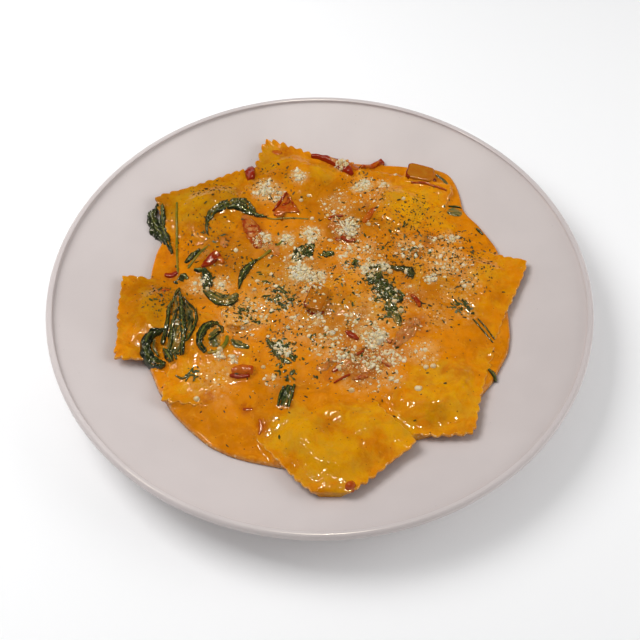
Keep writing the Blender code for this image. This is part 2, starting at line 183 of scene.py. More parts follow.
class Relief:
    """Heights over a fine square grid of cells that covers the food."""

    HALF = 0.120
    CELL = 0.0006

    def __init__(self) -> None:
        """Lays out the grid, with a height of 0 all over."""
        count = 2 * round(self.HALF / self.CELL) + 1
        self.axis = (np.arange(count) - (count - 1) / 2) * self.CELL
        self.x, self.y = np.meshgrid(self.axis, self.axis, indexing="ij")
        self.top = np.zeros_like(self.x)
        self.covered = np.zeros_like(self.x)

    def read(self, height: Array, x: Array, y: Array) -> Array:
        """Reads a grid of heights at any places, straight between the cells."""
        px = np.clip((np.asarray(x, float) - self.axis[0]) / self.CELL, 0, len(self.axis) - 1.001)
        py = np.clip((np.asarray(y, float) - self.axis[0]) / self.CELL, 0, len(self.axis) - 1.001)
        i, j = px.astype(int), py.astype(int)
        fx, fy = px - i, py - j
        near = height[i, j] * (1 - fx) + height[i + 1, j] * fx
        far = height[i, j + 1] * (1 - fx) + height[i + 1, j + 1] * fx
        return near * (1 - fy) + far * fy

    def at(self, x: Array, y: Array) -> Array:
        """Reads the relief itself."""
        return self.read(self.top, x, y)

    def blurred(self, height: Array, reach: float) -> Array:
        """Softens a grid of heights over about this distance."""
        cells = reach / self.CELL
        steps = np.arange(-math.ceil(2.5 * cells), math.ceil(2.5 * cells) + 1)
        weights = np.exp(-0.5 * (steps / cells) ** 2)
        weights /= weights.sum()
        for axis in (0, 1):
            height = sum(w * np.roll(height, int(s), axis) for w, s in zip(weights, steps))
        return height

    def filled(self, height: Array, radius: float, reach: float) -> Array:
        """Fills creases as thick sauce does: up to where a rolled ball would touch.

        Args:
            height: The grid of heights to fill.
            radius: The ball's radius.
            reach: How far from each cell the ball's surface is looked at.

        Returns:
            A grid of heights, nowhere lower than the one given.
        """
        cells = math.ceil(reach / self.CELL)
        offsets = []
        for i in range(-cells, cells + 1):
            for j in range(-cells, cells + 1):
                away = math.hypot(i, j) * self.CELL
                if away <= reach:
                    offsets.append((i, j, radius - math.sqrt(radius ** 2 - away ** 2)))
        rolled = np.full_like(height, -np.inf)
        for i, j, drop in offsets:
            rolled = np.maximum(rolled, np.roll(height, (i, j), (0, 1)) - drop)
        lowest = np.full_like(height, np.inf)
        for i, j, drop in offsets:
            lowest = np.minimum(lowest, np.roll(rolled, (i, j), (0, 1)) + drop)
        return lowest

    def of_mesh(self, mesh: bpy.types.Mesh) -> Array:
        """The height of a mesh's upper side over each cell, and minus infinity beside it."""
        points = np.zeros(len(mesh.vertices) * 3)
        mesh.vertices.foreach_get("co", points)
        points = points.reshape(-1, 3)
        tree = BVHTree.FromPolygons(points.tolist(), [tuple(p.vertices) for p in mesh.polygons])
        height = np.full_like(self.top, -np.inf)
        low = np.floor((points.min(0)[:2] - self.axis[0]) / self.CELL).astype(int)
        high = np.ceil((points.max(0)[:2] - self.axis[0]) / self.CELL).astype(int)
        down = Vector((0.0, 0.0, -1.0))
        for i in range(max(low[0], 0), min(high[0], len(self.axis) - 1) + 1):
            for j in range(max(low[1], 0), min(high[1], len(self.axis) - 1) + 1):
                hit = tree.ray_cast(Vector((self.axis[i], self.axis[j], 0.1)), down)[0]
                if hit is not None:
                    height[i, j] = hit.z
        return height

    def raise_to(self, mesh: bpy.types.Mesh) -> None:
        """Raises the relief to the top of a mesh that lies on it."""
        self.top = np.maximum(self.top, self.of_mesh(mesh))


# ---------------------------------------------------------------------------------------------
# Finishes


class Graph:
    """A material's node tree, built with short calls."""

    def __init__(self, name: str) -> None:
        """Makes the material with its Principled shader."""
        self.material = bpy.data.materials.new(name)
        self.material.use_nodes = True
        self.tree = self.material.node_tree
        self.shader = self.tree.nodes["Principled BSDF"]
        self.place = self.node("ShaderNodeTexCoord").outputs["Object"]

    def node(self, kind: str, **settings: object) -> bpy.types.Node:
        """Adds a node and sets its properties."""
        made = self.tree.nodes.new(kind)
        for name, value in settings.items():
            setattr(made, name, value)
        return made

    def feed(self, socket: Socket, value: object) -> None:
        """Links a socket to another, or sets its value."""
        if isinstance(value, bpy.types.NodeSocket):
            self.tree.links.new(value, socket)
        elif isinstance(value, tuple) and len(value) == 3 and socket.type == "RGBA":
            socket.default_value = (*value, 1.0)
        else:
            socket.default_value = value

    def noise(self, size: float, detail: float = 2.0, rough: float = 0.5, warp: float = 0.0,
              place: Socket | None = None) -> Socket:
        """Noise between 0 and 1.

        Args:
            size: The distance between neighbouring bumps.
            detail: How many finer layers are added.
            rough: How strong each finer layer is, as a share of the one before.
            warp: How far the pattern is stirred.
            place: Where it is read; the piece's own coordinates unless this is given.

        Returns:
            The factor's socket.
        """
        made = self.node("ShaderNodeTexNoise")
        self.feed(made.inputs["Vector"], self.place if place is None else place)
        self.feed(made.inputs["Scale"], 1.0 / size)
        self.feed(made.inputs["Detail"], detail)
        self.feed(made.inputs["Roughness"], rough)
        self.feed(made.inputs["Distortion"], warp)
        return made.outputs["Fac"]

    def cells(self, size: float) -> tuple[Socket, Socket]:
        """Scattered cells of this size: the distance to each one's middle, and its own number."""
        made = self.node("ShaderNodeTexVoronoi")
        self.feed(made.inputs["Vector"], self.place)
        self.feed(made.inputs["Scale"], 1.0 / size)
        split = self.node("ShaderNodeSeparateColor")
        self.feed(split.inputs["Color"], made.outputs["Color"])
        return made.outputs["Distance"], split.outputs["Red"]

    def dots(self, size: float, radius: float, share: float) -> Socket:
        """Small round dots: 1 on a dot and 0 beside it.

        Args:
            size: The distance between the places where a dot may be.
            radius: A dot's radius, as a share of that distance.
            share: The share of the places that have a dot.

        Returns:
            The factor's socket.
        """
        distance, number = self.cells(size)
        round_dot = self.ramp(distance, radius, radius * 0.6)
        picked = self.ramp(number, 1.0 - share, 1.0 - share + 0.01)
        return self.math("MULTIPLY", round_dot, picked)

    def scaled(self, colour: Socket, by: Socket | float) -> Socket:
        """A colour made lighter or darker."""
        made = self.node("ShaderNodeVectorMath", operation="SCALE")
        self.feed(made.inputs[0], colour)
        self.feed(made.inputs["Scale"], by)
        return made.outputs[0]

    def attribute(self, name: str) -> Socket:
        """The mesh's own value of that name."""
        return self.node("ShaderNodeAttribute", attribute_name=name).outputs["Fac"]

    def grain_place(self, stretch: float) -> Socket:
        """Coordinates along and across a strip, in which patterns are drawn out lengthwise.

        Args:
            stretch: A pattern's size across the strip, as a share of its length along it.

        Returns:
            The vector's socket.
        """
        shorter = self.node("ShaderNodeMath", operation="MULTIPLY")
        self.feed(shorter.inputs[0], self.attribute("run"))
        self.feed(shorter.inputs[1], stretch)
        made = self.node("ShaderNodeCombineXYZ")
        self.feed(made.inputs[0], shorter.outputs[0])
        self.feed(made.inputs[1], self.attribute("side"))
        return made.outputs[0]

    def math(self, operation: str, first: object, second: object = 0.0) -> Socket:
        """One step of arithmetic, held between 0 and 1."""
        made = self.node("ShaderNodeMath", operation=operation, use_clamp=True)
        self.feed(made.inputs[0], first)
        self.feed(made.inputs[1], second)
        return made.outputs[0]

    def ramp(self, value: object, low: float, high: float, start: float = 0.0, end: float = 1.0) -> Socket:
        """A value that goes smoothly from start to end as its source goes from low to high."""
        made = self.node("ShaderNodeMapRange", interpolation_type="SMOOTHSTEP")
        for name, number in (("Value", value), ("From Min", low), ("From Max", high),
                             ("To Min", start), ("To Max", end)):
            self.feed(made.inputs[name], number)
        return made.outputs["Result"]

    def blend(self, factor: object, first: object, second: object, kind: str = "MIX") -> Socket:
        """Mixes two colours; at a factor of 1 only the second shows."""
        made = self.node("ShaderNodeMix", data_type="RGBA", blend_type=kind, clamp_factor=True)
        self.feed(made.inputs[0], factor)
        self.feed(made.inputs[6], first)
        self.feed(made.inputs[7], second)
        return made.outputs[2]

    def bump(self, heights: Sequence[tuple[Socket, float]]) -> None:
        """Stacks relief on the shader's normal: a height's socket and its depth for each."""
        normal = None
        for height, depth in heights:
            made = self.node("ShaderNodeBump")
            self.feed(made.inputs["Distance"], depth)
            self.feed(made.inputs["Height"], height)
            if normal is not None:
                self.feed(made.inputs["Normal"], normal)
            normal = made.outputs["Normal"]
        self.feed(self.shader.inputs["Normal"], normal)

    def finish(self, colour: object, roughness: object, **sockets: object) -> bpy.types.Material:
        """Feeds the shader.

        Args:
            colour: The base colour, or its socket.
            roughness: The roughness, or its socket.
            sockets: Values of other sockets, with their names' spaces written as underscores.

        Returns:
            The finished material.
        """
        self.feed(self.shader.inputs["Base Color"], colour)
        self.feed(self.shader.inputs["Roughness"], roughness)
        for name, value in sockets.items():
            self.feed(self.shader.inputs[name.replace("_", " ")], value)
        return self.material


@dataclass(frozen=True)
class Glaze:
    """The plate's warm grey glaze, with the bare clay of its foot."""

    colour: Colour = (0.610, 0.548, 0.535)
    cloud: Colour = (0.575, 0.515, 0.503)
    clay: Colour = (0.46, 0.40, 0.34)
    foot_height: float = 0.0006
    lip_heights: tuple[float, float] = (0.0236, 0.0252)

    def material(self) -> bpy.types.Material:
        """Builds the material."""
        graph = Graph("glazed_stoneware")
        colour = graph.blend(graph.ramp(graph.noise(0.045, 3.0), 0.35, 0.7), self.colour, self.cloud)
        colour = graph.blend(graph.dots(0.0042, 0.07, 0.16), colour, tuple(0.8 * c for c in self.cloud))
        axes = graph.node("ShaderNodeSeparateXYZ")
        graph.feed(axes.inputs[0], graph.place)
        bare = graph.ramp(axes.outputs["Z"], self.foot_height, 0.6 * self.foot_height)
        colour = graph.blend(bare, colour, self.clay)
        satin = graph.ramp(graph.noise(0.012), 0.3, 0.7, 0.50, 0.58)
        dull = graph.math("ADD", satin, graph.ramp(bare, 0.0, 1.0, 0.0, 0.25))
        roughness = graph.math("SUBTRACT", dull, graph.ramp(axes.outputs["Z"], *self.lip_heights, 0.0, 0.34))
        graph.bump([(graph.noise(0.030, 1.0), 0.00003), (graph.noise(0.0009, 2.0), 0.000003)])
        return graph.finish(colour, roughness, Specular_IOR_Level=0.4)


class Coating(Enum):
    """What the sauced surface mainly is."""

    SAUCE = "cream_sauce"
    PASTA = "sauced_pasta"


@dataclass(frozen=True)
class SaucedSurface:
    """Sauce, or pasta under a film of it.

    The mesh's own values steer it: film is how much sauce hides the pasta, stain is how red it
    is beside tomato, with painted shade along a few creases between ravioli, cream is how pale it
    is where cheese has melted in and along thin edges, where it is partly a painted highlight, melt
    is where lumps of cheese show through, and shade is painted shade: how much darker the colour is
    made in places and in creases, partly for a browner, thinner sauce. Every colour is first lifted
    by the brightest factor, which the painted shade then takes back.
    """

    kind: Coating
    sauce: Colour = (0.600, 0.186, 0.0008)
    deep_sauce: Colour = (0.480, 0.142, 0.0005)
    light_sauce: Colour = (0.670, 0.270, 0.0080)
    pasta: Colour = (0.640, 0.285, 0.0020)
    pale_pasta: Colour = (0.560, 0.265, 0.0080)
    stain: Colour = (0.330, 0.048, 0.0040)
    cream: Colour = (0.640, 0.330, 0.0900)
    cheese: Colour = (0.700, 0.520, 0.2700)
    spice: Colour = (0.150, 0.050, 0.0060)
    # Painted light: a lift of every colour, which the painted shade then takes back where the food should read darker.
    brightest: float = 1.14

    def material(self) -> bpy.types.Material:
        """Builds the material."""
        graph = Graph(self.kind.value)
        cloudy = graph.ramp(graph.noise(0.012, 5.0, 0.62, 0.9), 0.38, 0.64)
        sauce = graph.blend(cloudy, self.sauce, self.deep_sauce)
        swirl = graph.ramp(graph.noise(0.0052, 4.0, 0.62, 1.6), 0.54, 0.72, 0.0, 0.55)
        sauce = graph.blend(swirl, sauce, self.light_sauce)
        pasta = graph.blend(graph.ramp(graph.noise(0.008, 3.0), 0.4, 0.65), self.pasta, self.pale_pasta)
        patchy = graph.ramp(graph.noise(0.0065, 4.0, 0.6, 0.8), 0.3, 0.7, -0.26, 0.22)
        film = graph.math("ADD", graph.attribute("film"), patchy)
        colour = graph.blend(graph.ramp(film, 0.05, 0.95), pasta, sauce)
        cream = graph.math("MULTIPLY", graph.attribute("cream"),
                           graph.ramp(graph.noise(0.0026, 5.0, 0.68), 0.38, 0.60))
        colour = graph.blend(cream, colour, self.cream)
        for size, share, pale in ((0.0019, 0.34, self.cheese), (0.0011, 0.30, self.cream)):
            grains = graph.math("MULTIPLY", graph.dots(size, 0.42, share), graph.ramp(graph.attribute("cream"), 0.05, 0.75))
            colour = graph.blend(grains, colour, pale)
        melt = graph.math("MULTIPLY", graph.attribute("melt"), graph.ramp(graph.noise(0.0016, 4.0, 0.6), 0.34, 0.56))
        colour = graph.blend(melt, colour, self.cheese)
        # Red-brown tomato stain, and painted shade along a few creases between ravioli.
        stain = graph.math("MULTIPLY", graph.attribute("stain"),
                           graph.ramp(graph.noise(0.0036, 5.0, 0.66), 0.30, 0.60))
        colour = graph.blend(stain, colour, self.stain)
        grit = graph.math("MULTIPLY", graph.ramp(graph.noise(0.0008, 3.0), 0.54, 0.74), 0.36)
        colour = graph.blend(grit, colour, self.deep_sauce)
        colour = graph.blend(graph.dots(0.0019, 0.14, 0.20), colour, self.spice)
        colour = graph.blend(graph.dots(0.0043, 0.10, 0.34), colour, self.spice)
        # Painted light and shade: every colour is lifted by the brightest factor, then darkened by the painted shade
        # value.
        colour = graph.scaled(graph.scaled(colour, self.brightest), graph.math("SUBTRACT", 1.0, graph.attribute("shade")))
        roughness = graph.ramp(graph.noise(0.0045, 3.0), 0.3, 0.7, 0.05, 0.14)
        calm = graph.ramp(graph.attribute("film"), 0.80, 0.98, 1.0, 0.25)
        waves = graph.math("MULTIPLY", graph.noise(0.0060, 2.0, 0.5, 0.4), calm)
        ripples = graph.math("MULTIPLY", graph.noise(0.0020, 2.0), calm)
        graph.bump([(waves, 0.00065), (ripples, 0.00016)])
        return graph.finish(colour, roughness, Specular_IOR_Level=0.34, Subsurface_Weight=0.10,
                            Subsurface_Radius=(0.0030, 0.0012, 0.0003), Subsurface_Scale=1.0)


@dataclass(frozen=True)
class WiltedLeaf:
    """Wilted spinach, dark and wet, with paler veins and sauce between its folds."""

    dark: Colour = (0.0070, 0.0110, 0.0055)
    green: Colour = (0.0520, 0.0700, 0.0130)
    vein: Colour = (0.190, 0.190, 0.0300)
    olive: Colour = (0.200, 0.160, 0.0420)
    sauce: Colour = (0.440, 0.180, 0.0180)

    def material(self) -> bpy.types.Material:
        """Builds the material: its fold value is 0 in a fold and 1 on a ridge."""
        graph = Graph("spinach")
        along = graph.grain_place(0.25)
        streaks = graph.noise(0.0008, 3.0, place=along)
        # Painted shade and light: the folds keep the leaf's dark colour and the ridges are painted a lighter green.
        lit_crest = graph.math("MULTIPLY", graph.attribute("fold"), graph.ramp(streaks, 0.38, 0.62))
        colour = graph.blend(lit_crest, self.dark, self.green)
        veins = graph.math("MULTIPLY", graph.attribute("vein"), graph.ramp(graph.noise(0.0012, 2.0), 0.3, 0.6))
        colour = graph.blend(veins, colour, self.vein)
        wash = graph.noise(0.0022, 4.0, 0.62, place=along)
        thin = graph.math("MULTIPLY", graph.attribute("smear"), graph.ramp(wash, 0.36, 0.56))
        colour = graph.blend(thin, colour, self.olive)
        smear = graph.math("MULTIPLY", graph.attribute("smear"), graph.ramp(wash, 0.50, 0.62))
        colour = graph.blend(smear, colour, self.sauce)
        roughness = graph.ramp(graph.noise(0.003, 2.0), 0.3, 0.7, 0.10, 0.24)
        graph.bump([(streaks, 0.00018), (graph.noise(0.0018, 3.0, 0.6), 0.00016)])
        return graph.finish(colour, roughness, Specular_IOR_Level=0.5, Coat_Weight=0.4, Coat_Roughness=0.06)


@dataclass(frozen=True)
class Stalks:
    """Pale green stalks of leaves."""

    green: Colour = (0.130, 0.130, 0.0080)
    yellow: Colour = (0.270, 0.170, 0.0080)

    def material(self) -> bpy.types.Material:
        """Builds the material."""
        graph = Graph("spinach_stalk")
        colour = graph.blend(graph.ramp(graph.noise(0.0060, 3.0), 0.35, 0.65), self.green, self.yellow)
        graph.bump([(graph.noise(0.0010, 2.0), 0.00010)])
        return graph.finish(colour, graph.ramp(graph.noise(0.004), 0.3, 0.7, 0.22, 0.36), Coat_Weight=0.2)


class TomatoKind(Enum):
    """How a piece of tomato looks: firm dice, red peel, or soft flesh that is half clear."""

    DICE = "tomato_dice"
    PEEL = "tomato_peel"
    FLESH = "tomato_flesh"


@dataclass(frozen=True)
class Tomato:
    """Cooked tomato: flesh on the mesh's cut sides and skin where its skin value is 1."""

    kind: TomatoKind
    flesh: Colour
    pale: Colour
    skin: Colour
    clearness: float = 0.15
    sauce: Colour = (0.560, 0.200, 0.0120)

    def material(self) -> bpy.types.Material:
        """Builds the material."""
        graph = Graph(self.kind.value)
        colour = graph.blend(graph.ramp(graph.noise(0.0040, 4.0, 0.6), 0.38, 0.66), self.flesh, self.pale)
        skin = graph.math("ADD", graph.attribute("skin"), graph.ramp(graph.noise(0.0030, 3.0), 0.4, 0.7, -0.25, 0.25))
        colour = graph.blend(graph.ramp(skin, 0.35, 0.75), colour, self.skin)
        smear = graph.math("MULTIPLY", graph.attribute("smear"), graph.ramp(graph.noise(0.0024, 4.0, 0.6), 0.40, 0.58))
        colour = graph.blend(smear, colour, self.sauce)
        roughness = graph.ramp(graph.noise(0.0025, 3.0), 0.3, 0.7, 0.10, 0.22)
        graph.bump([(graph.noise(0.0022, 3.0), 0.00025), (graph.noise(0.0007, 2.0), 0.00006)])
        return graph.finish(colour, roughness, Specular_IOR_Level=0.5, Subsurface_Weight=self.clearness,
                            Subsurface_Radius=(0.0040, 0.0008, 0.0003), Subsurface_Scale=1.0)


@dataclass(frozen=True)
class Grain:
    """A small loose thing, such as a crumb or a flake, in two colours that vary from one to the next."""

    name: str
    first: Colour
    second: Colour
    spread: float
    roughness: float
    clearness: float = 0.0

    def material(self) -> bpy.types.Material:
        """Builds the material."""
        graph = Graph(self.name)
        tone = graph.ramp(graph.noise(self.spread, 2.0), 0.36, 0.64)
        colour = graph.blend(tone, self.first, self.second)
        fine = graph.noise(self.spread * 0.2, 2.0)
        graph.bump([(fine, self.spread * 0.05)])
        rough = graph.ramp(fine, 0.3, 0.7, self.roughness, self.roughness + 0.15)
        return graph.finish(colour, rough, Specular_IOR_Level=0.35, Subsurface_Weight=self.clearness,
                            Subsurface_Radius=(0.0015, 0.0010, 0.0005), Subsurface_Scale=1.0)


# ---------------------------------------------------------------------------------------------
# Meshes


def new_piece(name: str, mesh: bpy.types.Mesh, nodes: Sequence[str] = (),
              finish: bpy.types.Material | None = None) -> bpy.types.Object:
    """Puts a finished mesh in the scene and tells the frame what it is.

    Args:
        name: The piece's name.
        mesh: Its mesh, in the frame's coordinates.
        nodes: The solids that it stands for.
        finish: Its material, where the mesh has none yet.

    Returns:
        The object.
    """
    mesh.name = name
    if finish is not None:
        mesh.materials.clear()
        mesh.materials.append(finish)
    made = bpy.data.objects.new(name, mesh)
    bpy.context.scene.collection.objects.link(made)
    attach(made, BODY)
    if nodes:
        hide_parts(*nodes)
    mesh.calc_loop_triangles()
    LOG.info("%s: %d triangles", name, len(mesh.loop_triangles))
    return made


class Shell:
    """Closed bodies that are gathered into one mesh, each with its own point values."""

    def __init__(self) -> None:
        """Starts with nothing."""
        self.points: list[Array] = []
        self.faces: list[list[int]] = []
        self.values: list[dict[str, Array]] = []
        self.count = 0

    def add(self, points: Array, faces: Sequence[Sequence[int]], values: dict[str, Array]) -> None:
        """Adds one body: its points, its faces, and one number a point for each named value."""
        self.faces.extend([index + self.count for index in face] for face in faces)
        self.points.append(points)
        self.values.append({name: np.broadcast_to(numbers, len(points)) for name, numbers in values.items()})
        self.count += len(points)

    def slab(self, top: Array, under: Array, values: dict[str, Array]) -> None:
        """Adds the body between two grids of points that meet along their common edge.

        Args:
            top: The upper grid, rows by columns by 3.
            under: The lower grid; its outermost points are taken from the upper one.
            values: Named numbers for the upper grid, which the lower one repeats.
        """
        rows, columns = top.shape[:2]
        upper = np.arange(rows * columns).reshape(rows, columns)
        lower = upper.copy()
        inner = (rows - 2) * (columns - 2)
        lower[1:-1, 1:-1] = rows * columns + np.arange(inner).reshape(rows - 2, columns - 2)
        faces = []
        for grid, turned in ((upper, False), (lower, True)):
            ring = [grid[:-1, :-1], grid[1:, :-1], grid[1:, 1:], grid[:-1, 1:]]
            quads = np.stack([part.ravel() for part in ring], 1)
            faces.extend((quads[:, ::-1] if turned else quads).tolist())
        points = np.concatenate([top.reshape(-1, 3), under[1:-1, 1:-1].reshape(-1, 3)])
        spread = {name: np.concatenate([np.ravel(number), np.ravel(number[1:-1, 1:-1])])
                  for name, number in values.items()}
        self.add(points, faces, spread)

    def cake(self, top: Array, rings: Sequence[Array], middle: Array, values: dict[str, Array]) -> None:
        """Adds the body between a square grid of points and a plain underside.

        Args:
            top: The upper grid, rows by columns by 3.
            rings: The underside's rings from the outside in, each with a point for each point
                round the grid's border, which starts in its first corner.
            middle: The underside's middle point.
            values: Named numbers for the upper grid; the underside has zeros.
        """
        count = len(top)
        number = np.arange(count * count).reshape(count, count)
        border = np.concatenate([number[:-1, 0], number[-1, :-1], number[:0:-1, -1], number[0, :0:-1]])
        corners = (number[:-1, :-1], number[1:, :-1], number[1:, 1:], number[:-1, 1:])
        faces = np.stack([corner.ravel() for corner in corners], 1).tolist()
        total = count * count
        for ring in rings:
            inner = total + np.arange(len(ring))
            faces.extend(np.stack([border, inner, np.roll(inner, -1), np.roll(border, -1)], 1).tolist())
            border, total = inner, total + len(ring)
        faces.extend([total, after, here] for here, after in zip(border.tolist(), np.roll(border, -1).tolist()))
        points = np.concatenate([top.reshape(-1, 3), *rings, middle[None, :]])
        below = len(points) - count * count
        self.add(points, faces, {name: np.append(np.ravel(numbers), np.zeros(below))
                                 for name, numbers in values.items()})

    def mesh(self, name: str, sharp: float = 180.0) -> bpy.types.Mesh:
        """Makes the mesh, shaded smooth, with its normals outwards.

        Args:
            name: The mesh's name.
            sharp: Edges that turn by more degrees than this stay sharp.

        Returns:
            The mesh.
        """
        made = bpy.data.meshes.new(name)
        made.from_pydata(np.concatenate(self.points).tolist(), [], self.faces)
        for value in sorted({value for part in self.values for value in part}):
            layer = made.attributes.new(value, "FLOAT", "POINT")
            numbers = [part.get(value, np.zeros(len(points))) for part, points in zip(self.values, self.points)]
            layer.data.foreach_set("value", np.concatenate(numbers).astype(np.float32))
        solid = bmesh.new()
        solid.from_mesh(made)
        bmesh.ops.recalc_face_normals(solid, faces=solid.faces)
        solid.to_mesh(made)
        solid.free()
        made.shade_smooth()
        if sharp < 180:
            made.set_sharp_from_angle(angle=math.radians(sharp))
        return made


def under_side(node: str, x: Array, y: Array) -> Array:
    """The height of a solid's underside, found by rays from below.

    Args:
        node: The solid's name.
        x: Places along X.
        y: Places along Y.

    Returns:
        One height for each place, and nan beside the solid.
    """
    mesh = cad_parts[node].data
    tree = BVHTree.FromPolygons([v.co for v in mesh.vertices], [tuple(p.vertices) for p in mesh.polygons])
    up = Vector((0.0, 0.0, 1.0))
    hits = [tree.ray_cast(Vector((px, py, -0.01)), up)[0] for px, py in zip(np.ravel(x), np.ravel(y))]
    return np.array([math.nan if hit is None else hit.z for hit in hits]).reshape(np.shape(x))


# ---------------------------------------------------------------------------------------------
# Geometry Nodes


class Nodes:
    """A Geometry Nodes tree with named inputs, run on one mesh."""

    def __init__(self, name: str) -> None:
        """Makes the tree with its input and output of geometry."""
        self.tree = bpy.data.node_groups.new(name, "GeometryNodeTree")
        self.tree.interface.new_socket("Geometry", in_out="INPUT", socket_type="NodeSocketGeometry")
        self.tree.interface.new_socket("Geometry", in_out="OUTPUT", socket_type="NodeSocketGeometry")
        self.start = self.tree.nodes.new("NodeGroupInput")
        self.end = self.tree.nodes.new("NodeGroupOutput")
        self.values: dict[str, object] = {}

    def setting(self, name: str, kind: str, value: object) -> Socket:
        """Adds a named input with its value, and returns its socket in the tree."""
        item = self.tree.interface.new_socket(name, in_out="INPUT", socket_type="NodeSocket" + kind)
        self.values[item.identifier] = value
        return self.start.outputs[name]

    def node(self, kind: str, inputs: dict[object, object] | None = None, **settings: object) -> bpy.types.Node:
        """Adds a node, sets its properties and feeds its inputs."""
        made = self.tree.nodes.new(kind)
        for name, value in settings.items():
            setattr(made, name, value)
        for key, value in (inputs or {}).items():
            if isinstance(value, bpy.types.NodeSocket):
                self.tree.links.new(value, made.inputs[key])
            else:
                made.inputs[key].default_value = value
        return made

    def math(self, operation: str, first: object, second: object = 0.0) -> Socket:
        """One step of arithmetic."""
        return self.node("ShaderNodeMath", {0: first, 1: second}, operation=operation).outputs[0]

    def run(self, geometry: Socket, finish: Socket, mesh: bpy.types.Mesh) -> bpy.types.Mesh:
        """Ends the tree, runs it on a mesh and returns the result as a plain mesh.

        Args:
            geometry: What the tree has made.
            finish: The input that holds its material.
            mesh: What goes in.

        Returns:
            A new mesh with nothing live on it.
        """
        real = self.node("GeometryNodeRealizeInstances", {"Geometry": geometry})
        dressed = self.node("GeometryNodeSetMaterial", {"Geometry": real.outputs[0], "Material": finish})
        self.tree.links.new(dressed.outputs[0], self.end.inputs[0])
        holder = bpy.data.objects.new("holder", mesh)
        bpy.context.scene.collection.objects.link(holder)
        modifier = holder.modifiers.new("nodes", "NODES")
        modifier.node_group = self.tree
        for identifier, value in self.values.items():
            modifier[identifier] = value
        graph = bpy.context.evaluated_depsgraph_get()
        made = bpy.data.meshes.new_from_object(holder.evaluated_get(graph), depsgraph=graph)
        holder.modifiers.remove(modifier)
        bpy.data.objects.remove(holder)
        return made


# ---------------------------------------------------------------------------------------------
# The plate


@dataclass
class Plate:
    """The coupe plate: the solid's own profile, made smooth and turned by Geometry Nodes."""

    node: str = "plate"
    turns: int = 240
    fine: int = 7
    corner: float = 35.0
    hub: float = 0.050
    flat: float = 0.0705
    foot_top: float = 0.0035
    finish: Glaze = field(default_factory=Glaze)

    def profile(self) -> Array:
        """The solid's profile, from the middle of its top to the middle of its underside."""
        solid = bmesh.new()
        solid.from_mesh(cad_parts[self.node].data)
        bmesh.ops.remove_doubles(solid, verts=solid.verts, dist=1e-6)
        half = [v for v in solid.verts if abs(v.co.y) < 1e-6 and v.co.x > 0]
        walked = [max((v for v in half if v.co.x < self.flat), key=lambda v: v.co.z)]
        while True:
            ahead = [v for v in half if v not in walked
                     and any(walked[-1] in edge.verts for edge in v.link_edges)]
            if not ahead:
                break
            walked.append(max(ahead, key=lambda v: v.co.x) if len(walked) == 1 else ahead[0])
        rim = [(v.co.x, v.co.z) for v in walked]
        solid.free()
        flat = np.linspace(0.0, 1.0, 5)[:-1]
        return np.array([*((share * rim[0][0], rim[0][1]) for share in flat), *rim,
                         *((share * rim[-1][0], rim[-1][1]) for share in flat[::-1])])

    def smooth_profile(self) -> Array:
        """The profile with a curve between the foot's corners, which stay as they are."""
        points = self.profile()
        step = np.diff(points, axis=0)
        heading = np.unwrap(np.arctan2(step[:, 1], step[:, 0]))
        corners = [k for k in range(1, len(points) - 1) if points[k, 1] < self.foot_top
                   and abs(heading[k] - heading[k - 1]) > math.radians(self.corner)]
        stops = [0, *corners, len(points) - 1]
        parts = [smooth_path(points[a:b + 1], (b - a) * self.fine + 1)[:-1] for a, b in zip(stops, stops[1:])]
        curve = np.concatenate([*parts, points[-1:]])
        return np.clip(curve, 0.0, points.max(0))

    def build(self) -> bpy.types.Object:
        """Turns the profile and dresses the plate."""
        line = bpy.data.meshes.new("plate_profile")
        points = [(radius - self.hub, -height, 0.0) for radius, height in self.smooth_profile()]
        line.from_pydata(points, [(k, k + 1) for k in range(len(points) - 1)], [])
        nodes = Nodes("turned_plate")
        turns = nodes.setting("Turns", "Int", self.turns)
        hub = nodes.setting("Hub Radius", "Float", self.hub)
        weld = nodes.setting("Weld Distance", "Float", 0.00001)
        glaze = nodes.setting("Glaze", "Material", self.finish.material())
        profile = nodes.node("GeometryNodeMeshToCurve", {"Mesh": nodes.start.outputs[0]})
        circle = nodes.node("GeometryNodeCurvePrimitiveCircle", {"Resolution": turns, "Radius": hub})
        swept = nodes.node("GeometryNodeCurveToMesh", {"Curve": circle.outputs[0], "Profile Curve": profile.outputs[0]})
        closed = nodes.node("GeometryNodeMergeByDistance", {"Geometry": swept.outputs[0], "Distance": weld})
        smooth = nodes.node("GeometryNodeSetShadeSmooth", {"Geometry": closed.outputs[0]})
        mesh = nodes.run(smooth.outputs[0], glaze, line)
        mesh.set_sharp_from_angle(angle=math.radians(self.corner))
        return new_piece("plate_glazed", mesh, [self.node])


# ---------------------------------------------------------------------------------------------
# What varies over the food: how bare the pasta is, how stained, creamy or strewn the sauce is, and where shade is
# painted on it


@dataclass(frozen=True)
class Spots:
    """Soft-edged round areas: middle X, middle Y and radius in millimetres, and strength."""

    rows: tuple[tuple[float, float, float, float], ...]
    seed: int
    raggedness: float = 0.35
    base: float = 0.0

    def at(self, x: Array, y: Array) -> Array:
        """Reads the strength at any places.

        Args:
            x: Places along X, in metres.
            y: Places along Y, in metres.

        Returns:
            The strength of the strongest spot at each place.
        """
        noise = Noise(self.seed)
        strength = np.full(np.shape(x), self.base)
        ragged = noise.fractal(x, y, 0.008)
        for middle_x, middle_y, radius, strong in self.rows:
            away = np.hypot(np.asarray(x) * 1000 - middle_x, np.asarray(y) * 1000 - middle_y) / radius
            away = away + self.raggedness * ragged
            strength = np.maximum(strength, strong * (1 - ease(away, 0.3, 1.15)))
        return strength


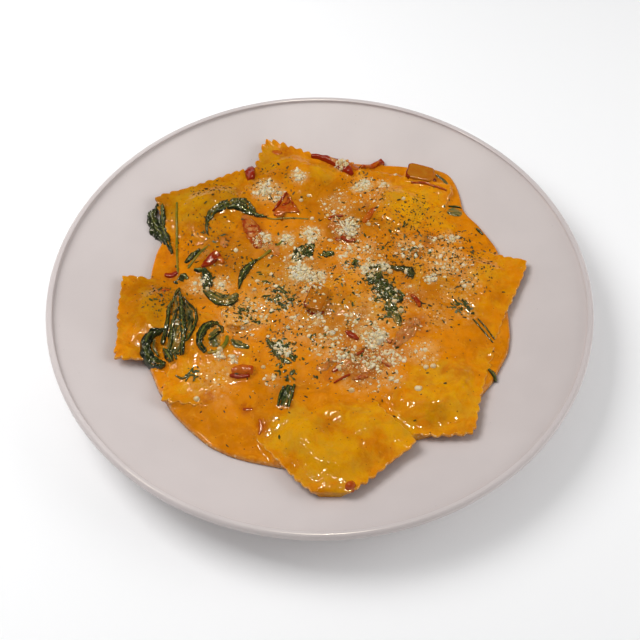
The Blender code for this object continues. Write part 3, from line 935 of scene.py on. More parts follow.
BARE_PASTA = Spots((
    (-69, 60, 15, 0.75), (-52, 66, 12, 0.45), (2, 84, 9, 0.60), (50, 58, 19, 0.62), (62, 48, 12, 0.50),
    (-12, -79, 15, 0.95), (38, -79, 11, 0.85), (4, -95, 19, 0.72), (20, -74, 12, 0.60),
    (58, -58, 22, 0.50), (70, -66, 10, 0.55), (-80, -14, 14, 0.25), (-86, -2, 8, 0.25), (-62, -50, 10, 0.25),
    (84, 12, 9, 0.30), (-25, 92, 10, 0.40), (12, -104, 12, 0.60),
), seed=11)
# Red-brown stains beside tomato; the rows at about (51..60, 26..38) mm are painted shade, a dark brown line along the
# crease between two ravioli.
STAINS_AND_CREASE_SHADE = Spots((
    (19, -42, 15, 0.75), (32, -35, 11, 0.65), (8, -47, 9, 0.55), (-2, -7, 9, 0.35), (-20, 97, 5, 0.60),
    (13, 40, 10, 0.85), (-36, 43, 9, 0.50), (-33, 52, 6, 0.45), (-34, -67, 4, 0.70), (-27, -76, 4, 0.65),
    (-53, -60, 4, 0.60), (-53, 21, 9, 0.40), (67, -48, 6, 0.40), (-76, 14, 5, 0.70), (-79, 3, 5, 0.45),
    (47, -3, 6, 0.55), (60, 38, 4, 0.45), (56, 32, 4, 0.50), (51, 26, 4, 0.40), (60, -46, 4, 0.35), (50, 40, 5, 0.25), (-37, -48, 8, 0.40), (-50, 34, 5, 0.55), (15, -25, 5, 0.60), (48, -20, 9, 0.55),
    (8, 93, 8, 0.60), (27, 57, 6, 0.35), (-4, 58, 5, 0.25), (-80, 26, 6, 0.35),
), seed=12)
CREAM = Spots((
    (-10, 14, 12, 0.75), (-5, 38, 9, 0.9), (-17, 35, 8, 0.8), (15, 44, 10, 0.8), (-30, 70, 10, 0.8), (-12, 78, 7, 0.7),
    (24, 75, 9, 0.7), (35, 76, 6, 0.6), (-50, 5, 8, 0.8), (-18, -33, 8, 0.7), (25, -30, 14, 0.9), (25, 15, 10, 0.7),
    (16, -50, 12, 0.6), (-50, -52, 14, 0.55), (69, 37, 8, 0.6), (75, 5, 9, 0.6), (-62, 5, 9, 0.6), (-20, 0, 20, 0.35),
    (30, -12, 16, 0.6), (52, -35, 10, 0.5), (-30, 35, 8, 0.6), (-45, -20, 12, 0.55), (72, -12, 8, 0.45),
    (-62, 26, 6, 0.6), (50, 30, 14, 0.4),
    (62, 22, 16, 0.55), (70, -2, 12, 0.5), (56, -14, 12, 0.45), (-35, -12, 16, 0.4),
), seed=13, base=0.05)
CHEESE = Spots((
    (-10, 13, 8, 1.0), (-5, 38, 6, 0.9), (-17, 35, 4.5, 0.8), (15, 44, 8, 0.95), (-30, 70, 8, 0.75), (-24, 65, 6, 0.5),
    (-12, 78, 5.5, 0.85), (25, 75, 6, 0.8), (20, 71, 4.5, 0.8), (35, 76, 4, 0.7), (12, 90, 4, 0.8), (-50, 5, 5, 0.7),
    (-18, -33, 6, 0.75), (27, -28, 8, 0.85), (25, 15, 7, 0.75), (32, 17, 5.5, 0.8), (-30, 35, 7, 0.6), (13, -38, 7, 0.55),
    (24, -40, 9, 0.55), (36, -38, 7, 0.5), (69, 37, 4, 0.75), (60, 35, 3, 0.6), (75, 5, 5, 0.35), (57, 9, 4, 0.6),
    (-48, -39, 3, 0.7), (-42, -40, 3, 0.7), (-12, 24, 7, 0.5), (-4, 2, 7, 0.4), (-2, 10, 8, 0.6), (32, 0, 9, 0.35),
    (18, -18, 10, 0.35), (0, -17, 6, 0.45), (46, 28, 9, 0.30), (-20, -2, 14, 0.24), (10, 60, 12, 0.25), (20, 25, 16, 0.30),
    (5, -30, 14, 0.30), (-22, -52, 6, 0.2), (30, -48, 12, 0.30), (68, 18, 14, 0.28), (-60, 5, 8, 0.25), (0, 0, 62, 0.085),
    (-35, -14, 16, 0.22), (-10, -20, 14, 0.22), (45, -2, 12, 0.2), (46, -36, 10, 0.2), (28, 62, 12, 0.14),
), seed=14, raggedness=0.5)
HERBS = Spots((
    (66, 26, 28, 0.75), (38, 22, 24, 0.80), (46, 50, 22, 0.75), (-60, 72, 18, 0.35), (-70, -10, 14, 0.5), (12, 8, 26, 0.45), (-15, -6, 22, 0.40), (-79, -4, 17, 0.50),
    (-60, 38, 20, 0.50), (-25, 74, 16, 0.45), (-18, -28, 14, 0.60), (-46, 22, 14, 0.40), (15, 44, 10, 0.9),
    (24, 76, 16, 0.35), (-38, -12, 14, 0.45), (72, 10, 18, 0.55), (60, -12, 16, 0.35), (0, 0, 92, 0.10),
), seed=15, raggedness=0.3)
LEAFLETS = Spots((
    (-22, -3, 9, 0.8), (-13, -6, 5, 0.6), (-18, -33, 7, 0.9), (-16, -48, 6, 0.5), (30, 2, 10, 0.9), (36, -12, 8, 0.7),
    (72, -7, 6, 0.9), (-60, -48, 5, 0.7), (18, 19, 4, 0.9), (-38, -12, 8, 0.4), (-4, 28, 7, 0.5), (-57, 10, 6, 0.4),
    (-78, -2, 10, 0.18), (45, 30, 18, 0.20), (0, 0, 75, 0.035),
), seed=16, raggedness=0.4)


# Painted shade: the food's colour is darkened in these spots, over some ravioli and in the creases between them at
# about (51..57, 27..36) mm, partly standing for a browner, thinner sauce.
PAINTED_SHADES = Spots((
    (-60, 62, 34, 0.31), (-82, 60, 12, 0.38), (-30, 84, 22, 0.24), (-84, -4, 27, 0.32), (-50, 25, 24, 0.32),
    (-58, -72, 22, 0.10), (-20, -62, 26, 0.12), (5, -88, 30, 0.12), (0, 66, 24, 0.24), (20, 50, 16, 0.30),
    (-20, 20, 30, 0.22), (10, -15, 24, 0.22), (40, 20, 22, 0.16), (60, 0, 26, 0.12), (13, 42, 12, 0.42), (57, 36, 5, 0.34),
    (51, 27, 4, 0.34), (19, -42, 14, 0.28), (-34, 42, 8, 0.30), (36, 62, 12, 0.12), (38, -78, 9, 0.12),
    (54, -72, 7, 0.20),
), seed=17, raggedness=0.25)
THIN_FILM = 0.74
LUMP_SIZE = 0.0032


def lumps(x: Array, y: Array) -> Array:
    """How far lumps of half-melted cheese stand out at these places, about 0 to 1."""
    return CHEESE.at(x, y) * np.clip(0.55 + 1.1 * Noise(CHEESE.seed).fractal(x, y, LUMP_SIZE, 2), 0.0, 1.3)


def tints(x: Array, y: Array, film: Array | float = 1.0, pale_edge_and_highlight: Array | float = 0.0) -> dict[str, Array]:
    """The sauce's point values at these places.

    Args:
        x: Places along X.
        y: Places along Y.
        film: How well the sauce covers what is below it there.
        pale_edge_and_highlight: How pale it is where it thins out at an edge, partly a painted highlight there.

    Returns:
        The values that the sauced surface's finish reads, by name.
    """
    cheese = CHEESE.at(x, y)
    # The cream value also carries the pale edge, partly a painted highlight; shade is painted shade.
    return {"film": film * (1 - BARE_PASTA.at(x, y)), "stain": STAINS_AND_CREASE_SHADE.at(x, y), "shade": PAINTED_SHADES.at(x, y),
            "cream": np.maximum.reduce([CREAM.at(x, y), 0.7 * cheese, pale_edge_and_highlight + 0 * cheese]),
            "melt": np.clip(lumps(x, y), 0.0, 1.0)}


# ---------------------------------------------------------------------------------------------
# The ravioli


@dataclass(frozen=True)
class Lump:
    """A rise or a dent of the filling: its middle and radius in half sides, and its gain."""

    a: float
    b: float
    radius: float
    gain: float


@dataclass
class Ravioli:
    """A square pillow of pasta that lies where its solid lies, with a fluted, pressed edge.

    The turn is in degrees, the lean shears it and the cut is the missing share of its first
    corner. The mound is the filling's height and the rim where it starts and ends inside the edge.
    """

    node: str
    turn: float
    seed: int
    lean: float = 0.0
    cut: float = 0.0
    mound: float = 0.0060
    wrinkle: float = 0.00035
    lumps: tuple[Lump, ...] = ()
    points: int = 81
    edge: float = 0.0021
    edge_round: float = 0.0005
    flutes: int = 10
    flute_depth: float = 0.00055
    press: float = 0.00006
    rim: tuple[float, float] = (0.0020, 0.0150)

    def place(self) -> None:
        """Finds the middle and the half side from the solid's box."""
        low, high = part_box(self.node)
        turn = math.radians(self.turn)
        across = abs(math.cos(turn)) + abs(self.lean * math.cos(turn) - math.sin(turn))
        reach = (high.x - low.x) / 2
        self.half = 0.985 * reach / across
        self.x = (low.x + high.x) / 2
        self.y = high.y - reach if self.cut else (low.y + high.y) / 2

    def spot(self, a: Array, b: Array) -> tuple[Array, Array]:
        """Turns places on the unit square into X and Y."""
        beyond = np.maximum(self.cut - 2 - (a + b), 0.0) / 2
        a, b = a + beyond, b + beyond
        turn = math.radians(self.turn)
        u, v = self.half * (a + self.lean * b), self.half * b
        return self.x + u * math.cos(turn) - v * math.sin(turn), self.y + u * math.sin(turn) + v * math.cos(turn)

    def bed(self) -> SoftSquare:
        """The soft surface that the pillow lies on, read from its solid's underside."""
        steps = np.linspace(-0.93, 0.93, 13)
        a, b = np.meshgrid(steps, steps, indexing="ij")
        height = under_side(self.node, *self.spot(a, b))
        return SoftSquare(np.where(np.isnan(height), np.nanmean(height), height))

    def build(self, relief: "Relief", finish: bpy.types.Material) -> bpy.types.Object:
        """Makes the pillow and raises the relief to it.

        Args:
            relief: The heights of the food, which the pillow is added to.
            finish: The sauced pasta.

        Returns:
            The pillow's object.
        """
        self.place()
        noise = Noise(self.seed)
        even = np.linspace(-1, 1, self.points)
        steps = 0.3 * even + 0.7 * np.sin(math.pi / 2 * even)
        a, b = np.meshgrid(steps, steps, indexing="ij")
        reach = np.maximum(np.abs(a), np.abs(b))
        along = np.where(np.abs(a) >= np.abs(b), b, a) / np.maximum(reach, 1e-9)
        x, y = self.spot(a, b)
        sway = along + 0.035 * np.sin(math.pi * along) * noise.at(x, y, 0.05)
        scallop = 2 * np.abs(np.cos(math.pi / 2 * self.flutes * sway)) - 1
        wave = scallop * np.clip(0.9 + 1.1 * noise.at(x, y, 0.011), 0.1, 1.7)
        outer = ease(reach, 0.80, 1.0)
        corner = ease(np.minimum(np.abs(a), np.abs(b)), 0.86, 1.0) * outer
        grow = 1 + self.flute_depth / self.half * wave * outer - 0.030 * corner
        shift = 0.0009 * reach ** 3
        x, y = self.spot(a * grow, b * grow)
        x, y = x + shift * noise.at(x, y, 0.021), y + shift * noise.at(y + 0.3, x, 0.021)
        inset = (1 - reach) * self.half
        round_edge = np.sqrt(np.clip(1 - (1 - np.minimum(inset / self.edge_round, 1)) ** 2, 0, 1))
        round_reach = (np.abs(a) ** 2.8 + np.abs(b) ** 2.8) ** (1 / 2.8)
        middle = ease((1 - round_reach) * self.half, *self.rim)
        filling = middle * self.mound * (1 + 0.16 * noise.at(x, y, 0.013))
        for lump in self.lumps:
            away = np.hypot(a - lump.a, b - lump.b) / lump.radius
            filling = filling + middle ** 0.5 * self.mound * lump.gain * np.exp(-away ** 2)
        ridged = 1 - 2 * np.abs(noise.fractal(x, y, 0.009))
        skin = self.wrinkle * (ridged * ease(inset, 0.002, 0.008) + 0.5 * noise.at(x, y, 0.0035) * outer)
        pressed = -self.press * wave * (1 - ease(inset, 0.0030, 0.0045)) * ease(inset, 0.0004, 0.0012)
        bed = self.bed().at(a / 0.93, b / 0.93) + 0.0004 * noise.at(x, y, 0.010) * outer
        thick = self.edge * (1 + 0.18 * noise.at(x, y, 0.006))
        top = bed + thick / 2 * (1 + round_edge) + filling + skin + pressed
        under = bed + thick / 2 * (1 - round_edge)
        shell = Shell()
        # The cut edge is painted paler: partly thin sauce, partly a painted highlight along the rim.
        shell.slab(np.stack([x, y, top], 2), np.stack([x, y, under], 2),
                   tints(x, y, THIN_FILM * (0.85 + 0.15 * ease(inset, 0.0004, 0.0020)),
                         0.55 * (1 - ease(inset, 0.0002, 0.0009))))
        mesh = shell.mesh(self.node)
        relief.raise_to(mesh)
        return new_piece(self.node + "_sauced", mesh, [self.node], finish)


# ---------------------------------------------------------------------------------------------
# What lies on the ravioli: leaves, stalks and tomato


@dataclass(frozen=True)
class Blade:
    """A limp strip along a path: a leaf, a peel or a piece of soft flesh.

    The stations are X, Y and half width in millimetres. The height is the strip's rise, the
    ridges are the folds along it, and the ragged edge wanders by that share of the width. The
    dip is how far it goes under in places, where the sauce runs over it.
    """

    stations: tuple[tuple[float, float, float], ...]
    seed: int
    height: float = 0.0020
    ridges: float = 2.0
    ragged: float = 0.25
    dome: float = 4.0
    smear: float = 0.25
    sink: float = 0.0004
    dip: float = 0.0
    blunt: bool = False
    skin: float = 0.0

    def add_to(self, shell: Shell, relief: Relief) -> None:
        """Lays the strip on the relief and gathers its body.

        Args:
            shell: What gathers the bodies of one piece.
            relief: The heights that the strip drapes over.
        """
        stations = np.array(self.stations, float) / 1000
        length = float(np.hypot(*np.diff(stations[:, :2], axis=0).T).sum())
        rows = int(np.clip(length / 0.00040, 12, 100))
        columns = int(np.clip(2 * stations[:, 2].max() / 0.00036, 9, 41))
        path = smooth_path(stations, rows)
        path[:, 2] = np.maximum(path[:, 2], 0.0002)
        ahead = np.gradient(path[:, :2], axis=0)
        ahead /= np.linalg.norm(ahead, axis=1)[:, None]
        side = np.column_stack([-ahead[:, 1], ahead[:, 0]])
        share = np.linspace(0, 1, rows)[:, None]
        across = np.sin(np.linspace(-math.pi / 2, math.pi / 2, columns))[None, :]
        noise = Noise(self.seed)
        run = share * length + 0 * across
        ends = np.minimum(share, 1 - share) * length / np.maximum(path[:, 2:3], 0.0005)
        taper = np.clip(1 - np.clip(1 - ends / (0.35 if self.blunt else 1.0), 0, 1) ** 2, 0, 1) ** 0.5
        rag = 1 + self.ragged * noise.fractal(run + 0.1, np.sign(across) * 0.3 + 0 * run, 0.0030, 3)
        width = path[:, 2:3] * np.maximum(taper, 0.02) * np.maximum(rag, 0.2)
        sway = 0.25 * self.ragged * path[:, 2:3] * noise.at(run, 0 * run + 0.7, 0.006)
        x = path[:, 0:1] + side[:, 0:1] * (width * across + sway)
        y = path[:, 1:2] + side[:, 1:2] * (width * across + sway)
        ground = relief.read(relief.blurred(relief.top, 0.0011), x, y)
        body = np.clip(1 - np.abs(across) ** self.dome, 0, 1) ** 0.6 * np.clip(taper, 0, 1)
        rise = self.height * body * (1 + 0.35 * noise.at(run, across * width, 0.005))
        fold = np.ones_like(x)
        if self.ridges:
            crease = float(np.clip(1.3 * stations[:, 2].max() / self.ridges, 0.0010, 0.0022))
            drawn_out = 0.12 if stations[:, 2].max() < 0.0015 else 0.32
            fold = np.clip(1 - 2.0 * np.abs(noise.fractal(drawn_out * run, across * width + 0.2, crease, 2)), 0, 1)
            rise = rise * (0.4 + 0.6 * fold)
        crinkle = 1 - 2 * np.abs(noise.fractal(x, y, 0.0022, 2))
        rise = rise + (0.00008 + 0.00006 * min(self.ridges, 3.0)) * crinkle * body
        under_sauce = self.dip * ease(noise.fractal(run + 0.5, across * width, 0.0045, 2), -0.15, 0.35)
        top = ground - self.sink - under_sauce + np.maximum(rise, 0.00005)
        under = np.minimum(ground - self.sink - under_sauce, top) - 0.0004
        shell.slab(np.stack([x, y, top], 2), np.stack([x, y, under], 2),
                   {"fold": fold * body, "vein": np.exp(-(across / 0.10) ** 2) * np.ones_like(x),
                    "smear": self.smear * (1.4 - body), "run": run + 0.05 * (self.seed % 17),
                    "side": across * width, "skin": self.skin + (1 - body) * 0.4 * (self.skin > 0)})


@dataclass(frozen=True)
class Tuft:
    """A clump of small leaf scraps: its middle and half sizes in millimetres, and how many there are.

    The pile is how proud the scraps in its middle lie, and the dip how deep others go under.
    """

    x: float
    y: float
    half: tuple[float, float]
    count: int
    seed: int
    length: tuple[float, float] = (2.5, 6.0)
    smear: float = 0.3
    pile: float = 0.9
    dip: float = 0.0012

    def add_to(self, shell: Shell, relief: Relief) -> None:
        """Lays the scraps one by one, some of them on others.

        Args:
            shell: What gathers the bodies of one piece.
            relief: The heights that the scraps lie on.
        """
        draw = np.random.default_rng(self.seed)
        for number in range(self.count):
            turn, far = draw.uniform(0, 2 * math.pi), math.sqrt(draw.uniform(0, 1))
            x, y = self.x + self.half[0] * far * math.cos(turn), self.y + self.half[1] * far * math.sin(turn)
            way, bend = draw.uniform(0, math.pi), draw.uniform(-0.5, 0.5)
            length = draw.uniform(*self.length)
            dx, dy = math.cos(way) * length / 2, math.sin(way) * length / 2
            wide = draw.uniform(0.20, 0.42) * length
            proud = self.pile * draw.uniform(0, 1) * (1 - far)
            Blade(((x - dx, y - dy, 0.5 * wide), (x - bend * dy, y + bend * dx, wide), (x + dx, y + dy, 0.35 * wide)),
                  self.seed + number, 0.0009 + 0.0002 * wide, 1 + number % 2, 0.7, smear=self.smear,
                  sink=0.0006 - 0.001 * proud, dip=self.dip * (1 - proud)).add_to(shell, relief)


@dataclass(frozen=True)
class Stalk:
    """A round stalk along a path of X, Y and radius in millimetres."""

    stations: tuple[tuple[float, float, float], ...]
    seed: int
    sink: float = 0.25
    lift: float = 0.0

    def add_to(self, shell: Shell, relief: Relief) -> None:
        """Lays the stalk on the relief and gathers its body in the shell."""
        stations = np.array(self.stations, float) / 1000
        length = float(np.hypot(*np.diff(stations[:, :2], axis=0).T).sum())
        rows, around = int(np.clip(length / 0.0007, 10, 70)), 14
        path = smooth_path(stations, rows)
        ahead = np.gradient(path[:, :2], axis=0)
        ahead /= np.linalg.norm(ahead, axis=1)[:, None]
        side = np.column_stack([-ahead[:, 1], ahead[:, 0]])
        noise = Noise(self.seed)
        soft = relief.blurred(relief.top, 0.0016)
        share = np.linspace(0, 1, rows)
        blunt = np.sqrt(np.clip(1 - np.clip(1 - np.minimum(share, 1 - share) * length / 0.0006, 0, 1) ** 2, 0.001, 1))
        radius = path[:, 2] * blunt * (1 + 0.12 * noise.at(share * length, 0 * share, 0.006))
        bow = self.lift * np.sin(math.pi * share) / 1000
        middle = relief.read(soft, path[:, 0], path[:, 1]) + radius * (1 - 2 * self.sink) + bow
        turn = np.linspace(0, 2 * math.pi, around, endpoint=False)
        ring = np.stack([np.cos(turn), 0.85 * np.sin(turn)])
        points = [np.column_stack([path[k, 0] + side[k, 0] * radius[k] * ring[0],
                                   path[k, 1] + side[k, 1] * radius[k] * ring[0],
                                   middle[k] + radius[k] * ring[1]]) for k in range(rows)]
        tips = np.array([[*path[k, :2], middle[k]] for k in (0, -1)])
        faces = [[r * around + c, r * around + (c + 1) % around, (r + 1) * around + (c + 1) % around,
                  (r + 1) * around + c] for r in range(rows - 1) for c in range(around)]
        total = rows * around
        for c in range(around):
            faces.append([total, (c + 1) % around, c])
            faces.append([total + 1, total - around + c, total - around + (c + 1) % around])
        shell.add(np.concatenate([*points, tips]), faces, {"fold": np.array(0.5)})


class Side(Enum):
    """The sides of a diced piece that keep the tomato's skin."""

    NONE = 0
    LEFT = 1
    RIGHT = 2
    BOTH = 3


@dataclass(frozen=True)
class Dice:
    """A cut block with soft edges: middle, length, width and height in millimetres, turn and tilt in degrees."""

    x: float
    y: float
    size: tuple[float, float, float]
    seed: int
    turn: float = 0.0
    tilt: float = 0.0
    skin: Side = Side.NONE
    square: float = 0.38
    sink: float = 0.8
    points: int = 31
    rough: float = 0.09

    def add_to(self, shell: Shell, relief: Relief) -> None:
        """Sets the block on the relief and gathers its body in the shell."""
        even = np.linspace(-1, 1, self.points)
        a, b = np.meshgrid(even, even, indexing="ij")
        reach = np.maximum(np.abs(a), np.abs(b))
        safe = np.maximum(reach, 1e-9)
        spread = np.sin(reach * math.pi / 2) ** self.square
        ring = np.stack([a / safe, b / safe]) * spread
        corner = 1 - 0.12 * (np.minimum(np.abs(a), np.abs(b)) / safe) ** 6
        rise = np.cos(reach * math.pi / 2) ** self.square
        half = np.array(self.size) / 2000
        noise = Noise(self.seed)
        wobble = 1 + self.rough * noise.fractal(a, b, 0.9)
        u, v = half[0] * ring[0] * corner * wobble, half[1] * ring[1] * corner * (2 - wobble)
        w = half[2] * rise * (1 + self.rough * noise.at(a, b, 0.7))
        turn, tilt = math.radians(self.turn), math.radians(self.tilt)
        ground = float(relief.read(relief.blurred(relief.top, 0.0015), self.x / 1000, self.y / 1000))
        middle = ground + half[2] - self.sink / 1000

        def stand(u: Array, v: Array, w: Array) -> Array:
            """Tilts, turns and places points of the block."""
            u, w = u * math.cos(tilt) + w * math.sin(tilt), w * math.cos(tilt) - u * math.sin(tilt)
            return np.stack([self.x / 1000 + u * math.cos(turn) - v * math.sin(turn),
                             self.y / 1000 + u * math.sin(turn) + v * math.cos(turn), middle + w], 2)

        wall = ease(spread, 0.80, 0.97)
        left = wall * (ring[0] < -0.6) if self.skin in (Side.LEFT, Side.BOTH) else 0 * wall
        right = wall * (ring[0] > 0.6) if self.skin in (Side.RIGHT, Side.BOTH) else 0 * wall
        shell.slab(stand(u, v, w), stand(u, v, -w), {"skin": left + right})


@dataclass(frozen=True)
class Topping:
    """One piece of topping: its name, its finish's slot, its parts and the solid it stands for."""

    name: str
    slot: str
    parts: tuple[Blade | Tuft | Stalk | Dice, ...]
    node: str | None = None

    def build(self, relief: Relief, finish: bpy.types.Material) -> bpy.types.Object:
        """Makes the piece on the relief and raises the relief to it.

        Args:
            relief: The heights of the food, which the piece is added to.
            finish: The piece's material.

        Returns:
            The piece's object.
        """
        shell = Shell()
        for part in self.parts:
            part.add_to(shell, relief)
        mesh = shell.mesh(self.name)
        relief.raise_to(mesh)
        return new_piece(self.name, mesh, [self.node] if self.node else [], finish)


LEAF, STALK, RED, BLOCK, BROWN = "spinach", "stem", "tomato_red", "tomato", "tomato_brown"

